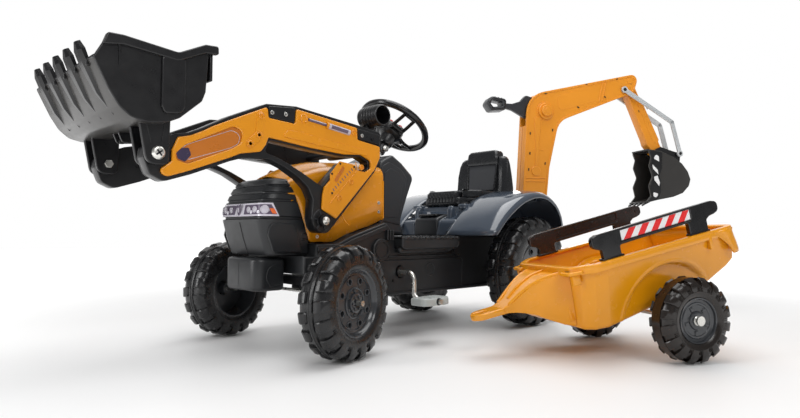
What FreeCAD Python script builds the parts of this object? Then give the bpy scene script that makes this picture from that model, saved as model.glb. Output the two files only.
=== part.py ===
import FreeCAD, Part
import math
import os
import Sketcher
from FreeCAD import Placement, Rotation, Vector

# A ride-on pedal digger for a child, with a front loader, a rear excavator and a two-wheeled trailer.
# Frame: +X to the front, +Y to the rider's left, +Z up, origin on the ground under the rear axle.

# ---------------------------------------------------------------- driving dimensions (mm, degrees)
DIMENSIONS = {
    "wheelbase": 718.0,
    "front_wheel_radius": 121.5,
    "front_wheel_width": 78.0,
    "front_wheel_offset": 232.0,
    "front_recess_radius": 68.0,
    "rear_wheel_radius": 159.5,
    "rear_wheel_width": 86.0,
    "rear_wheel_offset": 222.0,
    "rear_recess_radius": 86.0,
    "kingpin_offset": 40.0,
    "steer_at_rest": 13.6,
    "steel_rod_radius": 6.0,
    "running_gap": 0.05,
    "wall": 4.0,
    "chassis_half_width": 125.0,
    "footrest_half_width": 155.0,
    "bonnet_half_width": 98.0,
    "nose_half_width": 95.0,
    "console_half_width": 82.0,
    "bumper_half_width": 70.0,
    "seat_half_width": 98.0,
    "fender_outer": 264.0,
    "crank_x": 436.0,
    "crank_z": 169.0,
    "crank_throw": 66.0,
    "pedal_length": 96.0,
    "pedal_width": 60.0,
    "pedal_thickness": 20.0,
    "chainwheel_radius": 48.5,
    "sprocket_radius": 30.3,
    "chain_offset": 61.0,
    "chain_thickness": 5.0,
    "column_radius": 7.0,
    "column_tilt": 34.8,
    "steering_wheel_radius": 96.0,
    "steering_rim_radius": 10.0,
    "steering_arm": 45.0,
    "column_length": 491.0,
    "loader_pivot_x": 700.0,
    "loader_pivot_z": 295.0,
    "loader_pivot_radius": 8.0,
    "arm_inner": 108.0,
    "arm_thickness": 30.0,
    "cover_thickness": 6.0,
    "bucket_pivot_x": 1078.0,
    "bucket_pivot_z": 410.0,
    "loader_bucket_half_width": 170.0,
    "lever_pivot_x": 560.0,
    "lever_pivot_z": 470.0,
    "grip_radius": 28.0,
    "swing_post_x": 340.0,
    "swing_angle": 150.0,
    "swing_pin_radius": 10.0,
    "boom_half_width": 30.0,
    "stick_half_width": 18.0,
    "digger_bucket_half_width": 50.0,
    "link_thickness": 7.0,
    "trailer_wheel_radius": 90.0,
    "trailer_wheel_width": 58.0,
    "trailer_wheel_offset": 165.0,
    "trailer_pitch": 13.2,
    "trailer_yaw": 27.6,
    "tub_wall": 4.0,
    "hitch_pin_radius": 7.0,
    "eye_radius": 8.0,
}

FRONT_AXLE_X = DIMENSIONS["wheelbase"]
FRONT_AXLE_Z = DIMENSIONS["front_wheel_radius"]
REAR_AXLE_Z = DIMENSIONS["rear_wheel_radius"]
CRANK = (DIMENSIONS["crank_x"], DIMENSIONS["crank_z"])
LOADER_PIVOT = (DIMENSIONS["loader_pivot_x"], DIMENSIONS["loader_pivot_z"])
BUCKET_PIVOT = (DIMENSIONS["bucket_pivot_x"], DIMENSIONS["bucket_pivot_z"])
LEVER_PIVOT = (DIMENSIONS["lever_pivot_x"], DIMENSIONS["lever_pivot_z"])
ROD_SIZE = DIMENSIONS["steel_rod_radius"]
STEER = DIMENSIONS["steer_at_rest"]
STEER_TURN = Rotation(Vector(0, 0, 1), STEER)

# Pivots of the excavator in its own plane: distance out along the boom, height.
HANDLE_PIVOT = (63.0, 717.0)
STICK_PIVOT = (423.0, 856.0)
DIGGER_BUCKET_PIVOT = (549.0, 593.0)
LINK_TOP = (395.0, 818.0)
LINK_END = (640.0, 583.0)
SWING = Placement(
    Vector(-DIMENSIONS["swing_post_x"], 0, 0),
    Rotation(Vector(0, 0, 1), DIMENSIONS["swing_angle"]),
)

# The trailer's own frame: origin at its axle's centre, +X towards the drawbar, Y across, pitched nose-down.
TRAILER_AXLE = Vector(129, 604, DIMENSIONS["trailer_wheel_radius"])
TRAILER = Placement(
    TRAILER_AXLE,
    Rotation(Vector(0, 0, 1), -DIMENSIONS["trailer_yaw"])
    * Rotation(Vector(0, 1, 0), DIMENSIONS["trailer_pitch"]),
)

STEERING_CENTRE = Vector(339, 0, 574)
COLUMN_TURN = Rotation(Vector(0, 1, 0), -DIMENSIONS["column_tilt"])

doc = FreeCAD.newDocument("ride_on_digger")
sheet = doc.addObject("Spreadsheet::Sheet", "dims")
for row, (alias, value) in enumerate(DIMENSIONS.items(), start=1):
    sheet.set(f"A{row}", alias)
    sheet.set(f"B{row}", str(value))
    sheet.setAlias(f"B{row}", alias)
doc.recompute()

NODES = []


# ---------------------------------------------------------------- outlines
def polar(centre, radius, degrees):
    angle = math.radians(degrees)
    return (centre[0] + radius * math.cos(angle), centre[1] + radius * math.sin(angle))


def corner_geometry(corners):
    """Lines and tangent arcs through (u, v) or (u, v, radius) corners of a closed outline."""
    points = [Vector(c[0], c[1], 0) for c in corners]
    radii = [c[2] if len(c) > 2 else 0.0 for c in corners]
    count = len(points)
    starts, ends, arcs = [], [], []
    for i, point in enumerate(points):
        before = (points[i - 1] - point).normalize()
        after = (points[(i + 1) % count] - point).normalize()
        if radii[i] <= 0:
            starts.append(point)
            ends.append(point)
            arcs.append(None)
            continue
        half = before.getAngle(after) / 2
        reach = radii[i] / math.tan(half)
        middle = (before + after).normalize()
        centre = point + middle * (radii[i] / math.sin(half))
        starts.append(point + before * reach)
        ends.append(point + after * reach)
        arcs.append(Part.Arc(starts[i], centre - middle * radii[i], ends[i]))
    geometry = []
    for i in range(count):
        if arcs[i] is not None:
            geometry.append(arcs[i])
        gap = starts[(i + 1) % count] - ends[i]
        if gap.Length > 1e-6:
            geometry.append(Part.LineSegment(ends[i], starts[(i + 1) % count]))
    return geometry


def inset(corners, distance):
    """The same closed outline moved inwards by a distance; works for either direction of travel."""
    area = sum(
        corners[i - 1][0] * corners[i][1] - corners[i][0] * corners[i - 1][1] for i in range(len(corners))
    )
    side = 1.0 if area > 0 else -1.0
    result = []
    for i, corner in enumerate(corners):
        here = Vector(corner[0], corner[1], 0)
        back = (here - Vector(corners[i - 1][0], corners[i - 1][1], 0)).normalize()
        nxt = corners[(i + 1) % len(corners)]
        ahead = (Vector(nxt[0], nxt[1], 0) - here).normalize()
        normal_back = Vector(-back.y, back.x, 0) * side
        normal_ahead = Vector(-ahead.y, ahead.x, 0) * side
        scale = distance / (1 + normal_back.dot(normal_ahead))
        moved = here + (normal_back + normal_ahead) * scale
        radius = corner[2] if len(corner) > 2 else 0.0
        if radius > 0:
            turn = (back.x * ahead.y - back.y * ahead.x) * side
            radius = max(radius - distance, 0.5) if turn > 0 else radius + distance
        result.append((moved.x, moved.y, radius))
    return result


def belt(centre_a, radius_a, centre_b, radius_b):
    """Closed outline of a belt round two circles, as two arcs and two tangent lines."""
    a, b = Vector(*centre_a, 0), Vector(*centre_b, 0)
    along = (b - a).normalize()
    across = Vector(-along.y, along.x, 0)
    sine = (radius_a - radius_b) / (b - a).Length
    cosine = math.sqrt(1 - sine * sine)
    up = along * sine + across * cosine
    down = along * sine - across * cosine
    return [
        Part.LineSegment(a + up * radius_a, b + up * radius_b),
        Part.Arc(b + up * radius_b, b + along * radius_b, b + down * radius_b),
        Part.LineSegment(b + down * radius_b, a + down * radius_a),
        Part.Arc(a + down * radius_a, a - along * radius_a, a + up * radius_a),
    ]


# ---------------------------------------------------------------- PartDesign helpers
def new_body(name, placement=None):
    body = doc.addObject("PartDesign::Body", name)
    body.Label = name
    if placement is not None:
        body.Placement = placement
    NODES.append(body)
    return body


def origin_plane(body, role):
    return next(item for item in body.Origin.OriginFeatures if item.Role == role)


def plane_sketch(body, role, offset):
    """A sketch on an origin plane; offset is a number or an expression, along the plane's normal."""
    sketch = body.newObject("Sketcher::SketchObject", f"{body.Name}_sketch")
    sketch.AttachmentSupport = [(origin_plane(body, role), "")]
    sketch.MapMode = "FlatFace"
    if isinstance(offset, str):
        sketch.setExpression(".AttachmentOffset.Base.z", offset)
    else:
        sketch.AttachmentOffset = Placement(Vector(0, 0, offset), Rotation())
    return sketch


def add_circle(sketch, centre, radius):
    """A circle with its radius held by a number or an expression."""
    index = sketch.addGeometry(Part.Circle(Vector(centre[0], centre[1], 0), Vector(0, 0, 1), 1.0), False)
    start = radius if not isinstance(radius, str) else 5.0
    constraint = sketch.addConstraint(Sketcher.Constraint("Radius", index, start))
    if isinstance(radius, str):
        sketch.setExpression(f"Constraints[{constraint}]", radius)


def fill_sketch(sketch, shapes):
    """shapes: corner lists, ready geometry lists, or (centre, radius) circles."""
    for shape in shapes:
        if isinstance(shape, tuple):
            add_circle(sketch, *shape)
        elif isinstance(shape[0], tuple):
            sketch.addGeometry(corner_geometry(shape), False)
        else:
            sketch.addGeometry(shape, False)


def set_length(feature, name, value):
    if isinstance(value, str):
        feature.setExpression(name, value)
    else:
        setattr(feature, name, value)


def extrude(body, role, offset, length, shapes):
    """Pad from the offset plane along the plane's normal."""
    sketch = plane_sketch(body, role, offset)
    fill_sketch(sketch, shapes)
    feature = body.newObject("PartDesign::Pad", f"{body.Name}_pad")
    feature.Profile = sketch
    set_length(feature, "Length", length)
    doc.recompute()
    return feature


def carve(body, role, offset, length, shapes):
    """Pocket from the offset plane along the plane's normal; the volume has to fall."""
    before = body.Shape.Volume
    sketch = plane_sketch(body, role, offset)
    fill_sketch(sketch, shapes)
    feature = body.newObject("PartDesign::Pocket", f"{body.Name}_pocket")
    feature.Profile = sketch
    feature.Reversed = True
    set_length(feature, "Length", length)
    doc.recompute()
    if not body.Shape.Volume < before - 1e-3:
        raise RuntimeError(f"{body.Label}: a pocket cut nothing")
    return feature


def side_plate(body, y_high, thickness, shapes):
    """Side view outlines (x, z) filled from y_high towards -Y."""
    return extrude(body, "XZ_Plane", f"-({y_high})" if isinstance(y_high, str) else -y_high, thickness,
                   shapes)


def side_cut(body, y_high, thickness, shapes):
    return carve(body, "XZ_Plane", f"-({y_high})" if isinstance(y_high, str) else -y_high, thickness,
                 shapes)


def cut_cylinder(body, radius, height, base, turn):
    before = body.Shape.Volume
    feature = body.newObject("PartDesign::SubtractiveCylinder", f"{body.Name}_bore")
    set_length(feature, "Radius", radius)
    feature.Height = height
    feature.Placement = Placement(base, turn)
    doc.recompute()
    if not body.Shape.Volume < before - 1e-3:
        raise RuntimeError(f"{body.Label}: a bore cut nothing")


def revolve(body, corners):
    """Profile (distance along Y, radius) turned about the body's Y axis."""
    sketch = plane_sketch(body, "YZ_Plane", 0)
    fill_sketch(sketch, [corners])
    feature = body.newObject("PartDesign::Revolution", f"{body.Name}_revolution")
    feature.Profile = sketch
    feature.ReferenceAxis = (sketch, ["H_Axis"])
    feature.Angle = 360
    doc.recompute()
    return feature


def loft(body, role, sections, cut=False):
    """Loft through (offset, corners) sections."""
    before = body.Shape.Volume if cut else 0.0
    sketches = []
    for offset, corners in sections:
        sketch = plane_sketch(body, role, offset)
        fill_sketch(sketch, [corners])
        sketches.append(sketch)
    kind = "PartDesign::SubtractiveLoft" if cut else "PartDesign::AdditiveLoft"
    feature = body.newObject(kind, f"{body.Name}_loft")
    feature.Profile = sketches[0]
    feature.Sections = sketches[1:]
    feature.Ruled = True
    doc.recompute()
    if cut and not body.Shape.Volume < before - 1e-3:
        raise RuntimeError(f"{body.Label}: a loft cut nothing")
    return feature


def pipe(body, role, path_corners, radius):
    """A round bar of an expression radius along an open path of lines with rounded corners."""
    path = plane_sketch(body, role, 0)
    points = [Vector(c[0], c[1], 0) for c in path_corners]
    previous = points[0]
    for i in range(1, len(points)):
        if i == len(points) - 1:
            path.addGeometry(Part.LineSegment(previous, points[i]), False)
            break
        before = (points[i - 1] - points[i]).normalize()
        after = (points[i + 1] - points[i]).normalize()
        half = before.getAngle(after) / 2
        bend = path_corners[i][2]
        reach = bend / math.tan(half)
        middle = (before + after).normalize()
        centre = points[i] + middle * (bend / math.sin(half))
        start, end = points[i] + before * reach, points[i] + after * reach
        path.addGeometry(Part.LineSegment(previous, start), False)
        path.addGeometry(Part.Arc(start, centre - middle * bend, end), False)
        previous = end
    doc.recompute()
    profile = body.newObject("Sketcher::SketchObject", f"{body.Name}_section")
    profile.AttachmentSupport = [(path, "Edge1")]
    profile.MapMode = "NormalToEdge"
    profile.MapPathParameter = 0.0
    add_circle(profile, (0, 0), radius)
    doc.recompute()
    feature = body.newObject("PartDesign::AdditivePipe", f"{body.Name}_pipe")
    feature.Profile = profile
    feature.Spine = path
    doc.recompute()
    return feature


def rod_between(body, role_y, start, end, radius):
    """A straight cylinder between two points, as an additive primitive."""
    line = Vector(*end) - Vector(*start)
    feature = body.newObject("PartDesign::AdditiveCylinder", f"{body.Name}_{role_y}")
    set_length(feature, "Radius", radius)
    feature.Height = line.Length
    feature.Placement = Placement(Vector(*start), Rotation(Vector(0, 0, 1), line))
    doc.recompute()
    return feature


def group(name, shapes, placement=None):
    """Several separate solids that share one node, such as a set of fasteners."""
    feature = doc.addObject("Part::Feature", name)
    feature.Label = name
    feature.Shape = Part.Compound(shapes)
    if placement is not None:
        feature.Placement = placement
    NODES.append(feature)
    return feature


def cylinder(start, end, radius, bore=0.0):
    line = Vector(*end) - Vector(*start)
    solid = Part.makeCylinder(radius, line.Length, Vector(*start), line)
    if bore > 0:
        solid = solid.cut(Part.makeCylinder(bore, line.Length, Vector(*start), line))
    return solid


def hexagon(centre, axis, size, height):
    """A hexagon head or nut; size is the distance across its corners."""
    turn = Rotation(Vector(0, 0, 1), Vector(*axis))
    points = [
        Vector(*centre) + turn.multVec(Vector(*polar((0, 0), size / 2, 60 * k), 0)) for k in range(6)
    ]
    face = Part.Face(Part.makePolygon(points + points[:1]))
    return face.extrude(Vector(*axis).normalize() * height)


# ---------------------------------------------------------------- chassis and bodywork
CHASSIS_TOP = [
    (735, 215), (702, 215), (700, 243), (638, 243), (602, 259), (554, 274), (482, 296), (455, 262),
    (225, 258), (205, 262), (60, 262), (-60, 262), (-250, 262),
]
CHASSIS_BOTTOM = [(-250, 190), (-120, 190), (-80, 111), (590, 115), (632, 174), (750, 174), (750, 215)]


def chassis_shell():
    body = new_body("chassis_shell")
    side_plate(body, "dims.chassis_half_width", "2 * dims.chassis_half_width",
               [CHASSIS_TOP + CHASSIS_BOTTOM])
    footrest = [(455, 226, 8), (455, 258, 8), (228, 258, 8), (228, 226, 8)]
    side_plate(body, "dims.footrest_half_width", "2 * dims.footrest_half_width", [footrest])
    inside = inset(CHASSIS_TOP, DIMENSIONS["wall"])[1:-1]
    hollow = [(740, 100), (740, 211), (698, 211)] + inside[1:-1] + [(-246, 258), (-246, 100)]
    side_cut(
        body,
        "dims.chassis_half_width - dims.wall",
        "2 * (dims.chassis_half_width - dims.wall)",
        [hollow],
    )
    for x, z, radius in ((*CRANK, 14.0), (0.0, REAR_AXLE_Z, 12.0)):
        side_cut(body, 170, 340, [((x, z), radius)])
    for side in (1, -1):
        boss = [((505, 226), 27.0)]
        side_plate(body, 130 if side > 0 else -122, 8, boss)
    top = STEERING_CENTRE + COLUMN_TURN.multVec(Vector(0, 0, -390))
    cut_cylinder(body, 12, 200, top, COLUMN_TURN)
    return body


def nose():
    body = new_body("nose")
    half = DIMENSIONS["nose_half_width"]
    plan = [(702, half), (790, half, 20), (829, half - 32, 30), (829, 32 - half, 30), (790, -half, 20),
            (702, -half)]
    extrude(body, "XY_Plane", 217, 176, [plan])
    front = [
        (845, 210), (804, 210), (808, 222), (820, 256), (829, 290), (829, 299), (821, 330), (811, 358),
        (795, 380), (770, 391), (770, 400), (845, 400),
    ]
    side_cut(body, 120, 240, [front])
    joint = [(767, 386), (751, 370), (739, 342), (725, 306), (710, 263), (703, 247), (716, 247),
             (716, 210), (690, 210), (690, 400), (767, 400)]
    side_cut(body, 120, 240, [joint])
    inner = [(718, 90), (783, 90, 16), (821, 60, 26), (821, -60, 26), (783, -90, 16), (718, -90)]
    carve(body, "XY_Plane", 214, 110, [inner])
    return body


def headlight_band():
    body = new_body("headlight_band")
    wrap = [(829, 62, 22), (812, 84), (813.5, 85), (831, 63, 22), (831, -63, 22), (813.5, -85),
            (812, -84), (829, -62, 22)]
    extrude(body, "XY_Plane", 303, 31, [wrap])
    return body


def bumper_weight():
    body = new_body("bumper_weight")
    half = DIMENSIONS["bumper_half_width"]
    block = [(752, half, 8), (828, half, 22), (828, -half, 22), (752, -half, 8)]
    extrude(body, "XY_Plane", 130, 84, [block])
    side_cut(body, 80, 160, [[(740, 120), (838, 120), (838, 150), (800, 134), (752, 140), (740, 150)]])
    return body


def bonnet():
    body = new_body("bonnet")

    def section(half, top, grow):
        half, top = half - grow, top - grow
        return [(-half, 238), (-half, top - 6, 24), (0, top + 10, 90), (half, top - 6, 24), (half, 238)]

    stations = ((477, 96, 447), (560, 98, 440), (700, 98, 424), (792, 90, 390))
    loft(body, "YZ_Plane", [(x, section(w, t, 0)) for x, w, t in stations])
    inner = ((470, 96, 447), (560, 98, 440), (700, 98, 424), (799, 90, 390))
    loft(body, "YZ_Plane", [(x, section(w, t, DIMENSIONS["wall"])) for x, w, t in inner], cut=True)
    below = [(470, 230), (470, 302), (484, 301), (521, 286), (554, 278), (602, 263), (638, 247),
             (702, 247), (704, 250), (710, 266), (725, 309), (739, 345), (751, 373), (767, 393.5),
             (800, 393.5), (800, 230)]
    side_cut(body, 120, 240, [below])
    side_cut(body, 120, 240, [(LOADER_PIVOT, "dims.loader_pivot_radius")])
    return body


def dash_console():
    body = new_body("dash_console")
    outline = [(476, 302), (473, 400), (470, 452, 10), (452, 463, 8), (423, 477, 10), (385, 456, 12),
               (341, 422, 16), (366, 366, 30), (392, 300, 30), (380, 262), (456, 266)]
    side_plate(body, "dims.console_half_width", "2 * dims.console_half_width", [outline])
    side_cut(body, 78, 156, [inset(outline, DIMENSIONS["wall"])])
    foot = STEERING_CENTRE + COLUMN_TURN.multVec(Vector(0, 0, -360))
    cut_cylinder(body, 14, 300, foot, COLUMN_TURN)
    return body


FENDER_OUTER = [(232, 264), (196, 306), (151, 342), (104, 370), (50, 390), (-10, 399), (-66, 391),
                (-112, 368), (-146, 328), (-164, 264)]
FENDER_INNER = [(-152, 264), (-134, 324), (-104, 357), (-62, 379), (-10, 386), (45, 377), (96, 357),
                (140, 330), (184, 296), (212, 264)]


def fender_unit():
    body = new_body("fender_unit")
    saddle = [(208, 264), (200, 312, 8), (150, 326, 14), (136, 352, 6), (-240, 352, 20), (-250, 264)]
    side_plate(body, 112, 224, [saddle])
    hump = [(208, 264), (204, 320, 10), (150, 324), (150, 264)]
    side_plate(body, 44, 88, [hump])
    for y_high in ("dims.fender_outer", "-100"):
        side_plate(body, y_high, "dims.fender_outer - 100", [FENDER_OUTER + FENDER_INNER])
    for y in (66, -54):
        side_plate(body, y, 12, [[(150, 322), (150, 348, 5), (138, 351, 4), (130, 322)]])
    carve(body, "XY_Plane", 263, 84, [[(204, 106), (204, -106), (-244, -106), (-244, 106)]])
    return body


def seat():
    body = new_body("seat")
    outline = [(134, 353), (136, 400, 8), (60, 398, 30), (-48, 404, 24), (-60, 440), (-72, 530, 10),
               (-84, 545, 10), (-112, 540, 14), (-126, 470), (-128, 353)]
    side_plate(body, "dims.seat_half_width", "2 * dims.seat_half_width", [outline])
    for side in (1, -1):
        edge = 98 * side
        flank = [(150, edge), (150, 72 * side), (120, 72 * side), (90, 84 * side), (60, edge)]
        carve(body, "XY_Plane", 350, 210, [flank])
    carve(body, "XY_Plane", 352, 34, [[(120, 66), (120, -66), (-40, -90), (-118, -90), (-118, 90),
                                       (-40, 90)]])
    return body


def rear_brackets():
    bracket = new_body("rear_bracket")
    post = -DIMENSIONS["swing_post_x"]
    arm = [(-250.5, 60), (-250.5, -60), (post - 10, -46, 24), (post - 48, 0, 30), (post - 10, 46, 24)]
    extrude(bracket, "XY_Plane", 236, 26, [arm])
    extrude(bracket, "XY_Plane", 262, 92, [((post, 0), "dims.swing_pin_radius")])
    tongue = [(-250.5, 34), (-250.5, -34), (-300, -26, 18), (-318, 0, 16), (-300, 26, 18)]
    extrude(bracket, "XY_Plane", 146, 8, [tongue])
    extrude(bracket, "YZ_Plane", -258, 7.5, [[(-34, 120), (34, 120), (34, 236.5), (-34, 236.5)]])
    extrude(bracket, "XY_Plane", 112, 34.5, [((-292, 0), "dims.hitch_pin_radius")])


# ---------------------------------------------------------------- steering
def steering_parts():
    place = Placement(STEERING_CENTRE, COLUMN_TURN)
    wheel = new_body("steering_wheel", place)
    profile = plane_sketch(wheel, "XZ_Plane", 0)
    add_circle(profile, (DIMENSIONS["steering_wheel_radius"], 0), "dims.steering_rim_radius")
    rim = wheel.newObject("PartDesign::Revolution", "rim")
    rim.Profile = profile
    rim.ReferenceAxis = (profile, ["V_Axis"])
    rim.Angle = 360
    doc.recompute()
    extrude(wheel, "XY_Plane", -40, 34, [((0, 0), 34.0)])
    extrude(wheel, "XY_Plane", -72, 34, [((0, 0), 22.0)])
    for spoke in (60, 180, 300):
        for spread in (18, -18):
            heading = Rotation(Vector(0, 0, 1), spoke + STEER)
            start = heading.multVec(Vector(20, spread, -26))
            end = heading.multVec(Vector(94, spread * 0.9, -4))
            rod_between(wheel, f"spoke_{spoke}_{spread % 7}", tuple(start), tuple(end), 5.0)
    carve(wheel, "XY_Plane", -74, 34, [((0, 0), "dims.column_radius")])
    for name, direction in (("horn_button_left", 1), ("horn_button_right", -1)):
        seat_centre = Vector(-13, 7.5, 0) * direction
        cut_cylinder(wheel, 7, 12, seat_centre + Vector(0, 0, -14), Rotation())
        button = new_body(name, Placement(STEERING_CENTRE + COLUMN_TURN.multVec(seat_centre), COLUMN_TURN))
        extrude(button, "XY_Plane", -10, 13, [((0, 0), 6.6)])

    column = new_body("steering_column", place)
    length = DIMENSIONS["column_length"]
    extrude(column, "XY_Plane", -length, length - 42, [((0, 0), "dims.column_radius")])
    extrude(column, "XY_Plane", -100, 26, [((0, 0), 13.0)])
    reach = DIMENSIONS["steering_arm"]
    arm = [(9, 8, 6), (9, -reach - 8, 6), (-9, -reach - 8, 6), (-9, 8, 6)]
    turned = [Rotation(Vector(0, 0, 1), STEER).multVec(Vector(x, y, 0)) for x, y, _ in arm]
    extrude(column, "XY_Plane", -length, 4, [[(p.x, p.y, 6) for p in turned]])
    bolt = column.newObject("PartDesign::AdditiveCylinder", "clamp_bolt")
    bolt.Radius = 6
    bolt.Height = 44
    bolt.Placement = Placement(Vector(0, -22, -86), Rotation(Vector(1, 0, 0), -90))
    doc.recompute()


def knuckle(name, side):
    kingpin = Vector(FRONT_AXLE_X, side * kingpin_y(), 0)
    body = new_body(name, Placement(kingpin, STEER_TURN))
    reach = side * (DIMENSIONS["kingpin_offset"] + 45)
    pipe(body, "YZ_Plane", [(0, 178), (0, FRONT_AXLE_Z, 14), (reach, FRONT_AXLE_Z)],
         "dims.steel_rod_radius")
    rear_arm = [(8, 8, 4), (8, -8, 4), (-40, -8, 7), (-48, 0, 6), (-40, 8, 7)]
    extrude(body, "XY_Plane", 136, 4, [rear_arm])
    if side > 0:
        inner_arm = [(8, 0), (8, -44, 7), (0, -53, 6), (-8, -44, 7), (-8, 0)]
        extrude(body, "XY_Plane", 136, 4, [inner_arm])
    return body


def kingpin_y():
    return DIMENSIONS["front_wheel_offset"] - DIMENSIONS["kingpin_offset"] * math.cos(math.radians(STEER))


def front_axle_beam():
    body = new_body("front_axle_beam")
    y = kingpin_y()
    x = FRONT_AXLE_X
    plan = [(x - 15, y + 14, 14), (x + 15, y + 14, 14), (x + 15, -y - 14, 14), (x - 15, -y - 14, 14)]
    extrude(body, "XY_Plane", 150, 20, [plan])
    for side in (1, -1):
        carve(body, "XY_Plane", 145, 30, [((x, side * y), "dims.steel_rod_radius + dims.running_gap")])
    return body


def steering_links():
    y = kingpin_y()
    turn = STEER_TURN
    rear = turn.multVec(Vector(-40, 0, 0))
    inner = turn.multVec(Vector(0, -DIMENSIONS["steering_arm"], 0))
    left, right = Vector(FRONT_AXLE_X, y, 0), Vector(FRONT_AXLE_X, -y, 0)
    tie = new_body("tie_rod")
    rod_between(tie, "bar", tuple(left + rear + Vector(0, 0, 130)),
                tuple(right + rear + Vector(0, 0, 130)), 4.0)
    for k, end in enumerate((left, right)):
        rod_between(tie, f"eye{k}", tuple(end + rear + Vector(0, 0, 124)),
                    tuple(end + rear + Vector(0, 0, 135.6)), 7.0)
    column_foot = STEERING_CENTRE + COLUMN_TURN.multVec(Vector(0, 0, -DIMENSIONS["column_length"]))
    start = Vector(column_foot.x, 0, 0) + inner
    link = new_body("drag_link")
    rod_between(link, "bar", (start.x, start.y, 144), tuple(left + inner + Vector(0, 0, 144)), 3.4)
    for k, end in enumerate((start, left + inner)):
        rod_between(link, f"eye{k}", (end.x, end.y, 140.4), (end.x, end.y, 147.6), 7.0)


# ---------------------------------------------------------------- wheels, crank and drive
def tyre(name, place, radius, width, bead):
    body = new_body(name, place)
    half = width / 2
    wall = DIMENSIONS["wall"]
    outside = [
        (-half + 5, bead), (-half, bead + 12), (-half, radius - 26), (-half + 7, radius - 7),
        (-half + 16, radius), (half - 16, radius), (half - 7, radius - 7), (half, radius - 26),
        (half, bead + 12), (half - 5, bead),
    ]
    inside = [
        (half - 11, bead), (half - wall, bead + 11), (half - wall, radius - 27), (half - 10, radius - 10),
        (half - 18, radius - wall), (18 - half, radius - wall), (10 - half, radius - 10),
        (wall - half, radius - 27), (wall - half, bead + 11), (11 - half, bead),
    ]
    revolve(body, outside + inside)
    return body


def rim(name, place, bead, width, side, hub_reach, bore):
    """A dished rim: bead flange, flat disc at the outer face and a hub tube round the axle."""
    body = new_body(name, place)
    half = width / 2
    s = side
    revolve(body, [(-s * (half - 5), bead), (-s * (half - 5), bead - 6), (s * (half - 26), bead - 6),
                   (s * (half - 30), 24), (-s * hub_reach, 24), (-s * hub_reach, 14),
                   (s * (half - 6), 14), (s * (half - 6), 26), (s * (half - 16), 30),
                   (s * (half - 16), bead - 12), (s * (half - 5), bead - 6), (s * (half - 5), bead)])
    bush = plane_sketch(body, "YZ_Plane", 0)
    fill_sketch(bush, [[(-s * hub_reach, bore), (-s * hub_reach, 15), (s * (half - 6), 15),
                        (s * (half - 6), bore)]])
    sleeve = body.newObject("PartDesign::Revolution", "sleeve")
    sleeve.Profile = bush
    sleeve.ReferenceAxis = (bush, ["H_Axis"])
    sleeve.Angle = 360
    doc.recompute()
    return body


def front_wheels():
    radius, width = DIMENSIONS["front_wheel_radius"], DIMENSIONS["front_wheel_width"]
    bead = DIMENSIONS["front_recess_radius"] + 6
    bore = ROD_SIZE + DIMENSIONS["running_gap"]
    for name, side in (("left", 1), ("right", -1)):
        kingpin = Vector(FRONT_AXLE_X, side * kingpin_y(), 0)
        offset = Vector(0, side * DIMENSIONS["kingpin_offset"], FRONT_AXLE_Z)
        place = Placement(kingpin + STEER_TURN.multVec(offset), STEER_TURN)
        tyre(f"front_tyre_{name}", place, radius, width, bead)
        rim(f"front_rim_{name}", place, bead, width, side, -2, bore)


def rear_wheels():
    radius, width = DIMENSIONS["rear_wheel_radius"], DIMENSIONS["rear_wheel_width"]
    bead = DIMENSIONS["rear_recess_radius"] + 6
    for name, side in (("left", 1), ("right", -1)):
        place = Placement(Vector(0, side * DIMENSIONS["rear_wheel_offset"], REAR_AXLE_Z), Rotation())
        tyre(f"rear_tyre_{name}", place, radius, width, bead)
        bore = ROD_SIZE + (DIMENSIONS["running_gap"] if side > 0 else 0.0)
        rim(f"rear_rim_{name}", place, bead, width, side, 34, bore)


def rear_axle():
    body = new_body("rear_axle")
    reach = DIMENSIONS["rear_wheel_offset"] + 39
    side_plate(body, reach, 2 * reach, [((0, REAR_AXLE_Z), "dims.steel_rod_radius")])
    gear_disc(body, (0.0, REAR_AXLE_Z), DIMENSIONS["sprocket_radius"], 15)


def gear_disc(body, centre, radius, teeth):
    """A toothed disc just inside the chain, with its boss, bored for the steel rod."""
    points = []
    for k in range(teeth):
        turn = 360.0 / teeth
        points += [
            polar(centre, radius - 5, turn * (k - 0.28)),
            polar(centre, radius - 0.5, turn * (k - 0.1)),
            polar(centre, radius - 0.5, turn * (k + 0.1)),
            polar(centre, radius - 5, turn * (k + 0.28)),
        ]
    chain_y = -DIMENSIONS["chain_offset"]
    side_plate(body, chain_y + 1.5, 3, [points])
    side_plate(body, chain_y + 8, 16, [(centre, 15.0)])


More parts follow.
